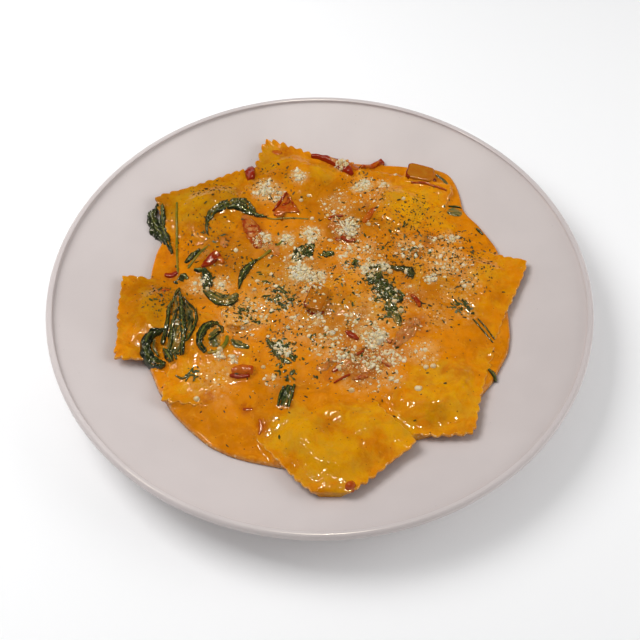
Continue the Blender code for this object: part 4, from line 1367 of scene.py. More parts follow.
TOPPINGS = (
    Topping("leaf_left_edge", LEAF, (
        Blade(((-87, 58.5, 1.0), (-90, 53.5, 2.7), (-87.5, 46.5, 4.0), (-83, 41, 3.4), (-80, 35, 1.8), (-77, 27.5, 0.9)),
              21, 0.0024, 3, 0.5, smear=0.05),
        Blade(((-84.5, 58, 0.8), (-84, 52, 1.7), (-83.5, 45, 1.7), (-80, 36, 1.0)), 22, 0.0028, 1.5, 0.5, smear=0.05),
    ), "spinach_left_edge"),
    Topping("stalk_left", STALK, (
        Stalk(((-77, 60.5, 0.55), (-76, 45, 0.68), (-75, 31, 0.66), (-73, 14, 0.55)), 23, sink=0.3),
    ), "spinach_stem_left"),
    Topping("peel_top", RED, (
        Blade(((-5, 96, 0.9), (3, 95.2, 2.4), (9.6, 92.2, 3.1), (14.6, 87, 2.8), (18.4, 83, 1.2)), 24, 0.0026, 0, 0.1,
              smear=0.0, skin=0.95),
        Blade(((11.5, 93.4, 1.6), (16.8, 90, 2.4), (22.4, 88.6, 2.4), (28, 90, 1.7)), 25, 0.0012, 0, 0.08, smear=0.5),
    ), "tomato_peel_top"),
    Topping("slice_top", RED, (
        Blade(((22.5, 87.2, 0.9), (29, 89.8, 1.8), (35.5, 95, 2.0)), 26, 0.0026, 0, 0.08, 5.0, smear=0.1, blunt=True,
              skin=0.5),
    ), "tomato_slice_top"),
    Topping("block_top_right", BLOCK, (
        Dice(55.2, 81.4, (15, 10.4, 5.6), 27, -16, 3, Side.LEFT, 0.22),
        Blade(((60.3, 80.5, 0.9), (62.4, 79, 1.7), (64, 77.3, 0.8)), 127, 0.0010, 0, 0.15, smear=0.0, sink=-0.0001, skin=1.0),
    ), "tomato_block_top_right"),
    Topping("wedge_upper_left", RED, (
        Blade(((-39.0, 91, 1.7), (-38.6, 85, 3.0), (-37.5, 77.5, 2.2)), 28, 0.0026, 0, 0.15, smear=0.0, skin=1.1),
    ), "tomato_wedge_upper_left"),
    Topping("wedge_top", RED, (
        Blade(((-17.8, 67, 0.6), (-17.9, 61.5, 3.2), (-18, 54.6, 7.2), (-18, 53.6, 7.0)), 29, 0.0016, 0, 0.06, 6.0,
              smear=0.45, blunt=True, skin=0.15),
        Blade(((-11, 53.8, 0.5), (-14.3, 59.8, 0.7), (-17.6, 66.5, 0.5)), 30, 0.0022, 0, 0.2, smear=0.3, skin=0.7),
        Blade(((-25.2, 54.3, 0.6), (-21.5, 60.5, 0.9), (-17.9, 67.2, 0.6)), 31, 0.0024, 0, 0.2, smear=0.2, skin=1.0),
        Blade(((-20.5, 58, 0.7), (-18, 60, 1.5), (-16, 63, 0.8)), 131, 0.0022, 0, 0.3, smear=0.1, skin=0.8),
    ), "tomato_wedge_top"),
    Topping("tomato_left_piece", RED, (
        Blade(((-60.5, 15.8, 0.9), (-56.5, 20.5, 2.8), (-52.3, 25, 3.2)), 32, 0.0026, 0, 0.15, smear=0.1, blunt=True,
              skin=0.75),
        Blade(((-54.5, 23.5, 1.4), (-51.5, 21.3, 2.1), (-49.5, 18.8, 1.0)), 133, 0.0022, 0, 0.2, smear=0.3, skin=0.35),
    ), "tomato_left"),
    Topping("flesh_upper_middle", BROWN, (
        Blade(((8, 52, 1.8), (8, 45, 3.6), (11, 38, 3.9), (15.5, 33.5, 1.6)), 33, 0.0016, 1.5, 0.4, smear=0.8, dip=0.0006,
              skin=0.35),
        Blade(((11, 36.6, 0.9), (14.8, 34.6, 1.8), (18.8, 34.2, 0.9)), 34, 0.0022, 0, 0.1, smear=0.05, skin=0.75),
        Blade(((4.5, 49, 0.8), (8, 51.5, 1.1), (12.5, 51.5, 0.7)), 134, 0.0014, 0, 0.2, smear=0.2, skin=0.8),
    ), "tomato_upper_middle"),
    Topping("dice_middle", BLOCK, (
        Dice(-1.6, -5.2, (9.6, 15.0, 4.6), 35, -20, 3, Side.LEFT, 0.32, 1.2),
        Blade(((-7.0, 1, 0.4), (-3.0, -4.5, 0.55), (-5.2, -10, 0.4)), 135, 0.0002, 0, 0.1, sink=-0.0001, skin=1.0),
        Blade(((-6.5, -11.5, 0.7), (-2, -13.0, 1.1), (2.5, -12.0, 0.6)), 136, 0.0016, 0, 0.2, smear=0.1, skin=0.9),
    ), "tomato_dice_middle"),
    Topping("flesh_lower", BROWN, (
        Blade(((4, -42, 2.5), (12, -41, 5.5), (22, -40, 7.0), (33, -37, 4.5)), 36, 0.0013, 2, 0.4, smear=1.0, dip=0.0012,
              skin=0.1),
        Blade(((12.5, -23.6, 0.9), (15.8, -25.8, 1.8), (19, -28.6, 0.9)), 38, 0.0020, 0, 0.15, smear=0.0, skin=1.0),
        Blade(((28, -24, 0.4), (31.5, -27, 0.7), (35, -30.4, 1.4)), 39, 0.0016, 0, 0.15, smear=0.1, skin=0.7),
        Blade(((17.2, -37.8, 0.6), (19.5, -36.2, 1.1), (21.6, -35, 0.6)), 136, 0.0018, 0, 0.2, smear=0.1, skin=0.85),
        Blade(((26.5, -37, 0.8), (30.5, -40.3, 1.6), (34, -44, 1.3)), 137, 0.0016, 0, 0.2, smear=0.4, skin=0.4),
        Blade(((5.8, -47, 0.8), (8, -45.2, 1.5), (10, -44, 0.8)), 138, 0.0018, 0, 0.2, smear=0.1, skin=0.7),
        Blade(((6.5, -53.3, 0.4), (11, -50.2, 0.6), (14.6, -48.2, 0.4)), 37, 0.0012, 0, 0.2, smear=0.0, skin=0.9),
        Blade(((16, -51.2, 0.9), (19.5, -50, 1.5), (23, -49.4, 0.8)), 139, 0.0014, 0, 0.25, smear=0.5, skin=0.55),
        Blade(((-1.5, -46, 1.8), (2.5, -42.8, 3.0), (6, -39.5, 1.5)), 140, 0.0011, 1, 0.35, smear=0.9, dip=0.0005, skin=0.3),
    ), "tomato_flesh_lower"),
    Topping("flesh_right", BROWN, (
        Blade(((36, -32.5, 1.4), (41, -26, 3.9), (45.5, -19.5, 4.2), (48, -15.5, 1.6)), 40, 0.0018, 1.0, 0.25, smear=0.55,
              dip=0.0003, skin=0.2),
    ), "tomato_right"),
    Topping("tomato_lower_left_piece", RED, (
        Blade(((-42, -48, 1.8), (-37, -46.4, 3.1), (-31.5, -46.8, 2.5)), 41, 0.0034, 0, 0.12, smear=0.15, blunt=True,
              skin=0.3),
        Blade(((-43, -49.5, 0.8), (-38, -49.8, 1.4), (-33, -49.5, 0.8)), 143, 0.0022, 0, 0.2, smear=0.1, skin=0.9),
    ), "tomato_dice_lower_left"),
    Topping("leaf_upper_left", LEAF, (
        Blade(((-59.3, 36, 0.7), (-59.8, 43.4, 1.0), (-59, 51, 1.6), (-55.3, 55.5, 2.4), (-50, 58.8, 2.9), (-43, 60.3, 3.1),
               (-38, 58, 2.7), (-34.5, 53.5, 1.2)), 42, 0.0018, 3, 0.6, smear=0.55, dip=0.0012),
        Blade(((-50, 56, 0.8), (-44.4, 56.8, 1.8), (-38.9, 54.5, 2.0), (-33, 52, 1.3), (-28, 50.4, 0.5)), 43, 0.0022, 2,
              0.35, smear=0.05),
        Blade(((-58.5, 48, 0.6), (-56, 53, 1.3), (-50, 56, 1.0)), 141, 0.0022, 1.5, 0.4, smear=0.1),
        Tuft(-45, 59, (8, 2.6), 8, 142, smear=0.3, dip=0.0006),
    ), "spinach_upper_left"),
    Topping("leaf_left_middle", LEAF, (
        Blade(((-58.5, 3, 1.4), (-54, -1, 3.1), (-49, -4, 3.7), (-44, -3, 2.7), (-41.5, 0, 1.2)), 46, 0.0012, 3, 0.2, smear=1.6),
        Blade(((-59.5, 15.5, 1.2), (-58, 11, 2.7), (-57.4, 6.5, 3.0), (-58, 1.5, 1.9)), 45, 0.0030, 2.5, 0.45, smear=0.0),
        Blade(((-64.8, 15, 0.8), (-61.5, 14.2, 1.4), (-58, 14, 1.2)), 47, 0.0022, 1.5, 0.4, smear=0.0),
        Blade(((-59, 1.5, 0.6), (-54.5, -3.8, 1.0), (-49, -7.4, 1.2), (-44, -7, 1.0), (-41, -3.5, 0.5)), 144, 0.0018, 1, 0.3,
              smear=0.1),
        Blade(((-50, -1, 0.4), (-47, -4, 0.7), (-43, -3.5, 0.4)), 145, 0.0016, 1, 0.3, smear=0.1),
    ), "spinach_left_middle"),
    Topping("sprig_middle", LEAF, (
        Blade(((-41, 2, 0.6), (-39.8, 8.5, 1.8), (-38, 14, 2.4), (-34.5, 19, 1.7), (-32.2, 21.5, 0.8)), 48, 0.0020, 2, 0.35,
              smear=0.1),
        Tuft(-27, 5, (2.5, 5), 4, 147, smear=0.7),
    ), "spinach_sprig_middle"),
    Topping("leaf_lower_left", LEAF, (
        Blade(((-70.8, 0, 0.8), (-70, -6, 3.4), (-68, -14, 6.4), (-67.8, -24, 6.8), (-70.5, -33, 5.2), (-74, -38.5, 2.2)),
              148, 0.0018, 4, 0.15, smear=1.7),
        Blade(((-70.8, 3.5, 0.5), (-73, -5.3, 1.0), (-74.7, -10, 1.1), (-74.7, -17, 1.2), (-75.3, -26, 1.3), (-77, -31, 1.0)),
              50, 0.0030, 1, 0.25, smear=0.2),
        Blade(((-70.2, -1, 0.7), (-69, -7, 1.6), (-67.9, -14, 1.9), (-67, -21.5, 2.0), (-65.8, -30, 1.8), (-66.2, -39, 1.2)),
              49, 0.0044, 2, 0.35, smear=0.0),
        Blade(((-69.5, -12, 0.5), (-70.5, -16, 0.9), (-71.7, -23, 1.1), (-72, -30, 1.3), (-72.5, -36, 0.9)), 51, 0.0034, 1.5,
              0.3, smear=0.05),
        Blade(((-68.5, -3.5, 0.5), (-63.5, -9.3, 0.8), (-60.8, -16, 0.9), (-60.9, -24.3, 1.0), (-63.1, -31, 1.0),
               (-66, -34, 0.6)), 54, 0.0029, 1, 0.3, smear=0.15),
        Blade(((-75.5, -25, 0.8), (-81, -26.5, 1.8), (-84.8, -31.5, 2.7), (-83, -37.2, 3.3), (-78.5, -40.8, 2.9),
               (-74, -42.2, 1.8)), 52, 0.0038, 2.5, 0.25, smear=0.0),
        Blade(((-80, -29.5, 0.5), (-80.5, -33, 0.8), (-78, -36.8, 0.6)), 53, 0.0032, 1, 0.2, smear=1.7),
        Blade(((-76, -33, 1.0), (-73.5, -37, 2.0), (-71, -41.5, 1.5)), 55, 0.0039, 2, 0.3, smear=0.05),
        Tuft(-70.5, -37, (4.5, 3.5), 6, 149, smear=0.1, dip=0.0),
    ), "spinach_lower_left"),
    Topping("curl_left", LEAF, (
        Blade(((-49.5, -23, 1.0), (-51, -29.5, 3.4), (-50.5, -35, 2.8)), 58, 0.0009, 3, 0.15, smear=1.6),
        Blade(((-49.5, -19.5, 1.0), (-53.5, -21, 2.4), (-57, -28, 2.4), (-57.8, -34, 1.8), (-54.5, -38.3, 1.3)), 56, 0.0028,
              2.5, 0.3, smear=0.0),
        Blade(((-48, -25.5, 0.6), (-50.5, -28.8, 1.0), (-53.5, -32, 0.8)), 57, 0.0022, 1, 0.3, smear=0.0),
        Blade(((-50.5, -20.5, 0.6), (-48, -22.5, 1.0), (-47.4, -26.5, 0.6)), 59, 0.0022, 1, 0.3, smear=0.0),
    ), "spinach_curl_left"),
    Topping("leaf_middle", LEAF, (
        Blade(((-6, 32, 1.6), (-10, 27, 3.4), (-12.5, 20, 3.0)), 158, 0.0014, 3, 0.6, smear=0.6, dip=0.0008),
        Tuft(-8, 28, (4, 5), 10, 151, smear=0.2, dip=0.0006),
        Tuft(5, 25, (4, 2.2), 5, 152, smear=0.1),
    ), "spinach_middle"),
    Topping("leaf_right", LEAF, (
        Blade(((25, 15.5, 0.8), (31, 17, 1.3), (40, 16.2, 1.5), (46.5, 14, 2.6), (46, 10, 1.5)), 60, 0.0018, 2, 0.45, smear=0.2),
        Blade(((24, 9, 1.8), (28, 7, 3.6), (32, 2.5, 4.6), (36, -2.5, 4.6), (40.5, -4, 2.2)), 61, 0.0020, 4, 0.6, smear=0.35,
              dip=0.0008),
        Blade(((35, -3, 2.4), (36, -9, 3.7), (38, -15, 3.0), (39.5, -20, 1.2)), 62, 0.0014, 3, 0.5, smear=2.2, dip=0.0004),
        Tuft(29, 8.5, (6, 4.5), 13, 153, smear=0.15, dip=0.0004),
        Tuft(35, 0, (6.5, 5), 15, 154, smear=0.15, dip=0.0004),
        Tuft(36.5, -12, (3.5, 6), 9, 155, smear=0.7, dip=0.0006),
    ), "spinach_right"),
    Topping("leaf_lower_middle", LEAF, (
        Blade(((-26, -28, 1.0), (-22, -33, 2.0), (-19, -40, 1.0)), 64, 0.0014, 2, 0.6, smear=0.5, dip=0.0004),
        Tuft(-22, -33, (4.5, 5), 10, 156, (2.0, 5.0), 0.3, dip=0.0008),
        Tuft(-15, -43, (5.5, 6), 15, 157, (2.0, 5.5), 0.3, dip=0.0008),
    ), "spinach_lower_middle"),
    Topping("leaf_lower", LEAF, (
        Blade(((-14, -54.5, 1.9), (-15.5, -60, 2.9), (-17, -66, 2.0)), 67, 0.0018, 2, 0.25, blunt=True, smear=0.9),
        Blade(((-11.8, -54, 0.7), (-13.2, -60, 1.0), (-14.5, -66.5, 0.6)), 159, 0.0022, 1, 0.2, smear=0.0),
        Blade(((-17, -55, 0.6), (-18.5, -60, 0.9), (-19.5, -66, 0.6)), 160, 0.0020, 1, 0.3, smear=0.0),
    ), "spinach_leaf_lower"),
    Topping("thin_stalks", STALK, (
        Stalk(((-33.5, 20, 0.5), (-28, 25.5, 0.7), (-22.5, 31, 0.65), (-19.5, 34.5, 0.4)), 71, sink=0.3),
        Stalk(((-30, 51, 0.45), (-24, 49.5, 0.5), (-15, 50.3, 0.5), (-5.7, 49.6, 0.35)), 72, sink=0.4),
        Stalk(((-58.5, 31.2, 0.45), (-63, 25.5, 0.65), (-68, 16.5, 0.6)), 73, sink=0.35),
        Stalk(((-54, -38.3, 0.6), (-49, -36.6, 1.0), (-45.4, -32, 1.05), (-45, -27.5, 0.7)), 77, sink=0.35),
    )),
    Topping("leaf_bits", LEAF, (
        Blade(((-69.8, 20.5, 0.9), (-66.5, 24.5, 2.0), (-62.8, 29, 0.8)), 81, 0.0018, 2, 0.3, smear=0.05),
        Blade(((68.5, 56.6, 1.6), (73, 56.5, 3.2), (77, 56, 2.0)), 88, 0.0010, 2, 0.3, smear=3.0),
        Blade(((69.5, 60, 0.4), (73.5, 60.4, 0.7), (77, 59.4, 0.4)), 188, 0.0012, 1, 0.3, smear=0.0),
        Blade(((64.5, 83, 0.5), (69.6, 77, 1.0), (71.2, 69.5, 0.8)), 94, 0.0009, 1, 0.3, smear=1.2),
        Blade(((83.4, 45.3, 0.5), (85.2, 43, 1.0), (86.8, 40.6, 0.5)), 89, 0.0012, 1, 0.3, smear=0.0),
        Blade(((81, -44, 0.6), (83.5, -46.5, 1.4), (84.5, -50, 0.6)), 90, 0.0014, 1, 0.3, smear=0.2),
        Blade(((76, -15, 0.35), (80, -20.5, 0.55), (85, -28.5, 0.4)), 75, 0.0010, 1, 0.2, smear=0.1),
        Blade(((78.5, -14.5, 0.3), (82.5, -20, 0.5), (86, -26.8, 0.3)), 76, 0.0010, 1, 0.2, smear=0.1),
        Blade(((-69, -48, 0.5), (-65, -50, 0.9), (-60, -45, 0.5)), 91, 0.0009, 1, 0.4, smear=0.4),
        Blade(((-64, -52, 0.4), (-62, -49, 0.8), (-59, -50, 0.4)), 92, 0.0009, 1, 0.4, smear=0.4),
        Blade(((-43, -29, 0.8), (-39, -32, 2.8), (-34, -33, 1.0)), 93, 0.0010, 2, 0.4, smear=1.4),
        Tuft(-70, 10, (4, 2.0), 4, 161, smear=0.2),
        Tuft(-20, -3, (8, 4.5), 12, 162, (2.0, 4.5), 0.9, dip=0.0014),
        Tuft(-36, -11, (5, 2.5), 7, 163, (2.0, 4.5), 0.5),
        Tuft(-33, -18, (5, 2.0), 6, 164, (2.0, 4.5), 0.5),
        Tuft(72, -7, (5.0, 3.0), 7, 165, (2.0, 4.5), 0.9, 0.4, 0.0012),
        Tuft(18, 19.5, (3.0, 1.8), 4, 166, (2.0, 3.5), 0.2),
        Tuft(-60, 40, (3.0, 4.0), 3, 167, (1.5, 3.0), 0.5),
        Tuft(-2, -27, (6, 4.0), 6, 168, (1.5, 3.5), 0.5),
    )),
    Topping("tomato_bits", RED, (
        Blade(((50, 75.9, 0.35), (57, 74.6, 0.6), (64.9, 70.9, 0.7), (69, 68.5, 0.45)), 101, 0.0011, 0, 0.35, skin=0.7),
        Blade(((-80, 14, 0.8), (-76.5, 13, 1.7), (-73, 14.5, 0.9)), 102, 0.0018, 0, 0.2, smear=0.0, skin=0.95),
        Blade(((46, -1, 0.8), (49, -5, 1.5), (50, -9, 0.7)), 103, 0.0016, 0, 0.2, skin=0.7),
        Blade(((-36, -67, 0.5), (-33.5, -67.5, 1.2), (-31, -67, 0.5)), 104, 0.0007, 0, 0.3, smear=0.5, skin=0.7),
        Blade(((-28, -72, 0.5), (-27, -76, 1.0), (-28, -80, 0.5)), 105, 0.0007, 0, 0.4, smear=0.6, skin=0.4),
        Blade(((-80, 4, 0.8), (-78, 2.5, 1.8), (-76, 3.5, 0.8)), 106, 0.0009, 0, 0.3, smear=0.5, skin=0.3),
        Blade(((11, -110, 1.2), (13.5, -109, 2.2), (15, -107, 1.2)), 107, 0.0026, 0, 0.2, smear=0.1, skin=0.2),
        Blade(((-27, 98, 0.8), (-24, 97.5, 1.8), (-21, 97, 0.8)), 108, 0.0007, 0, 0.3, smear=0.6, skin=0.5),
        Blade(((23, 47, 1.0), (26, 51.5, 2.1), (29.2, 56.2, 1.1)), 109, 0.0014, 0, 0.15, smear=0.2),
    )),
    Topping("flesh_bits", BROWN, (
        Blade(((-41, 52, 1.6), (-37, 45, 4.2), (-33.5, 37, 4.6), (-32, 29, 2.0)), 111, 0.0017, 0, 0.2, smear=0.45, dip=0.0003,
              skin=0.6),
        Blade(((-51, 37, 1.0), (-50, 33, 2.4), (-49, 30, 1.0)), 112, 0.0009, 0, 0.3, smear=0.8, skin=0.3),
        Blade(((-29, 33, 1.0), (-24, 30, 3.0), (-22, 24, 1.6)), 113, 0.0009, 0, 0.3, smear=0.9, skin=0.1),
        Blade(((25, -21, 0.8), (29, -25, 1.6), (31, -30, 0.8)), 114, 0.0011, 0, 0.3, smear=0.6, skin=0.3),
        Blade(((0, 100, 0.7), (6, 94, 1.6), (14, 87, 1.0)), 115, 0.0009, 0, 0.3, smear=0.5, skin=0.2),
    )),
    Topping("cheese_lumps", "grated_cheese", tuple(
        Blade(((x - 0.50 * size, y - 0.08 * size, 0.42 * size), (x, y, 0.50 * size), (x + 0.46 * size, y + 0.1 * size, 0.36 * size)),
              120 + k, 0.0005 * size, 0, 0.4, 2.0, smear=0.0)
        for k, (x, y, size) in enumerate((
            (46.5, -57, 4.0), (-58, -60.5, 3.0), (15, -57, 3.0), (31, -26, 4.0), (29, -29.5, 3.4), (51, -44, 2.8),
            (54.5, -43.5, 3.0), (-48, -36, 3.0), (-42, -38.5, 2.8), (-36, -20, 2.4), (9, -45, 3.0), (64, 37, 3.2),
            (70, 37.5, 3.4), (73.5, 38.5, 2.2), (57.5, 9, 2.8), (36, 14, 3.2), (40.5, -10.5, 3.2), (12, 90.5, 3.6),
            (15, 89.5, 2.6), (42, 83, 2.4), (-10, 63, 2.4), (-6, 66, 2.2), (-4, 50, 2.4), (-36, -5, 2.8), (-33, 2, 2.4),
            (-6, 8, 2.4), (15, 35, 2.8), (-27, -44, 2.4), (45, 60, 2.2), (26, 46, 2.6)))
    )),
)


# ---------------------------------------------------------------------------------------------
# The sauce


@dataclass
class Sauce:
    """The pool round the ravioli and the film that runs over them, in one closed piece.

    The ball is what settles how far creases fill up: thick sauce lies where it can't reach. The
    fillet is the same for the sauce that creeps up the toppings.
    """

    node: str = "sauce"
    seed: int = 7
    points: int = 270
    base_reach: float = 0.80
    clear: float = 0.0004
    edge_reach: float = 0.0013
    edge_depth: float = 0.0010
    edge_lip: float = 0.50
    edge_run: float = 0.0240
    ball: float = 0.0028
    ball_reach: float = 0.0022
    fillet: float = 0.0016
    film: float = 0.00026
    bared: float = 0.0007
    proud: float = 0.0007
    melted: float = 0.0007

    def measure(self) -> None:
        """Finds how far the solid reaches from the middle at each whole degree."""
        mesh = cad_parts[self.node].data
        ends = np.array([[tuple(mesh.vertices[k].co)[:2] for k in edge.vertices] for edge in mesh.edges])
        angle = np.radians(np.arange(360))
        beside = ends[..., :1] * np.sin(angle) - ends[..., 1:] * np.cos(angle)
        ahead = ends[..., :1] * np.cos(angle) + ends[..., 1:] * np.sin(angle)
        crosses = beside[:, 0] * beside[:, 1] <= 0
        span = np.where(crosses, beside[:, 0] - beside[:, 1], 1.0)
        share = np.where(span == 0, 0.0, beside[:, 0] / np.where(span == 0, 1.0, span))
        reach = np.where(crosses, ahead[:, 0] + share * (ahead[:, 1] - ahead[:, 0]), 0.0).max(0)
        near = sum(np.roll(reach, k) * w for k, w in ((-2, 1), (-1, 2), (0, 3), (1, 2), (2, 1))) / 9
        self.reach = near

    def outline(self, angle: Array) -> Array:
        """The distance from the middle to the sauce's edge, at these angles."""
        wander = 0.0006 * Noise(self.seed).at(3 * np.cos(angle), 3 * np.sin(angle), 0.40)
        return np.interp(angle, np.radians(np.arange(360)), self.reach, period=2 * math.pi) + wander

    def pool(self, x: Array, y: Array, ground: Array) -> Array:
        """The height of the level pool, with its rounded edge.

        Args:
            x: Places along X.
            y: Places along Y.
            ground: The plate's height there.

        Returns:
            The pool's height, and the plate's own beyond the edge.
        """
        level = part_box(self.node)[1].z - 0.0001
        inset = self.outline(np.arctan2(y, x)) - np.hypot(x, y)
        swell = np.sqrt(1 - (1 - np.clip(inset / self.edge_reach, 0, 1)) ** 2)
        deep = np.maximum(level - ground, self.edge_depth)
        slope = self.edge_lip + (1 - self.edge_lip) * np.clip(inset / self.edge_run, 0, 1)
        return ground + np.where(inset > 0, deep * swell * slope, 0.0)

    def settle(self, relief: Relief, ground: Array) -> None:
        """Pours the sauce over the ravioli: the relief rises to the film's height.

        Args:
            relief: The heights of the plate with its ravioli.
            ground: The plate's own height.
        """
        self.measure()
        self.ravioli = relief.top.copy()
        self.level = self.pool(relief.x, relief.y, ground)
        relief.top = np.maximum(relief.top, self.level)
        covered = relief.blurred((relief.top > ground + 0.0003).astype(float), 0.0042)
        lowest = self.ravioli
        for axis in (0, 1):
            lowest = np.min([np.roll(lowest, k, axis) for k in (-2, -1, 0, 1, 2)], axis=0)
        inset = self.outline(np.arctan2(relief.y, relief.x)) - np.hypot(relief.x, relief.y)
        near_edge = np.maximum(1 - ease(covered, 0.74, 0.97), 1 - ease(inset, 0.003, 0.010))
        self.bare = near_edge * ease(lowest - self.level, 0.0002, 0.0007)
        self.lowest = lowest
        filled = relief.filled(relief.top, self.ball, self.ball_reach)
        filled = relief.blurred(filled, 0.0006)
        noise = Noise(self.seed)
        over = ease(filled - self.level, 0.0003, 0.0020)
        ripple = 0.00042 * noise.fractal(relief.x, relief.y, 0.0080, 3) * (0.25 + 0.75 * over)
        grain = 0.00012 * noise.at(relief.x + 0.5, relief.y, 0.0018) * (0.4 + 0.6 * over)
        melted = self.melted * lumps(relief.x, relief.y)
        self.surface = np.maximum(filled + self.film * over, self.level) + ripple + grain + melted
        self.surface = np.where(inset > 0.002, self.surface, np.minimum(self.surface, filled + 0.0001))
        relief.top = np.maximum(relief.top, self.surface * (1 - self.bare) + relief.top * self.bare)

    def build(self, relief: Relief, ground: Array, finish: bpy.types.Material) -> bpy.types.Object:
        """Makes the sauce with its fillets round the toppings that sit in it.

        Args:
            relief: The heights of the food with its toppings.
            ground: The plate's height.
            finish: The sauce.

        Returns:
            The sauce's object.
        """
        held = np.maximum(self.surface, relief.top - self.proud)
        wetted = np.maximum(self.surface, relief.filled(held, self.fillet, self.fillet * 0.98))
        wetted = np.where(relief.top > self.surface + self.proud, np.minimum(wetted, relief.top - 0.0003), wetted)
        top = wetted * (1 - self.bare) + (self.lowest - self.bared) * self.bare
        even = np.linspace(-1, 1, self.points)
        a, b = np.meshgrid(even, even, indexing="ij")
        wide = np.abs(a) >= np.abs(b)
        reach = np.where(wide, a, b)
        safe = np.where(np.abs(reach) < 1e-9, 1e-9, reach)
        around = np.where(wide, math.pi / 4 * b / safe, math.pi / 2 - math.pi / 4 * a / safe)
        angle = np.arctan2(reach * np.sin(around), reach * np.cos(around))
        edge = self.outline(angle)
        radius = np.abs(reach) * edge
        x, y = radius * np.cos(angle), radius * np.sin(angle)
        rim = 1 - ease(edge - radius, 0.0, 0.0006)
        plate = relief.read(ground, x, y) + self.clear
        upper = np.maximum(relief.read(top, x, y), plate) * (1 - rim) + (plate + 0.0001) * rim
        film = ease(relief.read(self.surface - self.ravioli, x, y), -0.0001, 0.0014)
        border = np.stack([np.concatenate([side[:-1, 0], side[-1, :-1], side[:0:-1, -1], side[0, :0:-1]])
                           for side in (x, y)], 1)
        base = [np.column_stack([share * border, relief.read(ground, *(share * border).T) + 0.5 * self.clear])
                for share in (0.97, self.base_reach)]
        middle = np.array([0.0, 0.0, float(relief.read(ground, 0.0, 0.0)) + 0.5 * self.clear])
        shell = Shell()
        # The pool's edge is painted paler: partly thin sauce, partly a painted highlight along its rim.
        shell.cake(np.stack([x, y, upper], 2), base, middle,
                   tints(x, y, THIN_FILM + (1 - THIN_FILM) * film, 0.9 * (1 - ease(edge - radius, 0.0002, 0.0011))))
        return new_piece("sauce_poured", shell.mesh("sauce"), [self.node], finish)


# ---------------------------------------------------------------------------------------------
# What is strewn over the food


class Bit(Enum):
    """The shape that a strewn bit starts from."""

    CRUMB = "crumb"
    DUST = "dust"
    FLAKE = "flake"
    GRAIN = "grain"


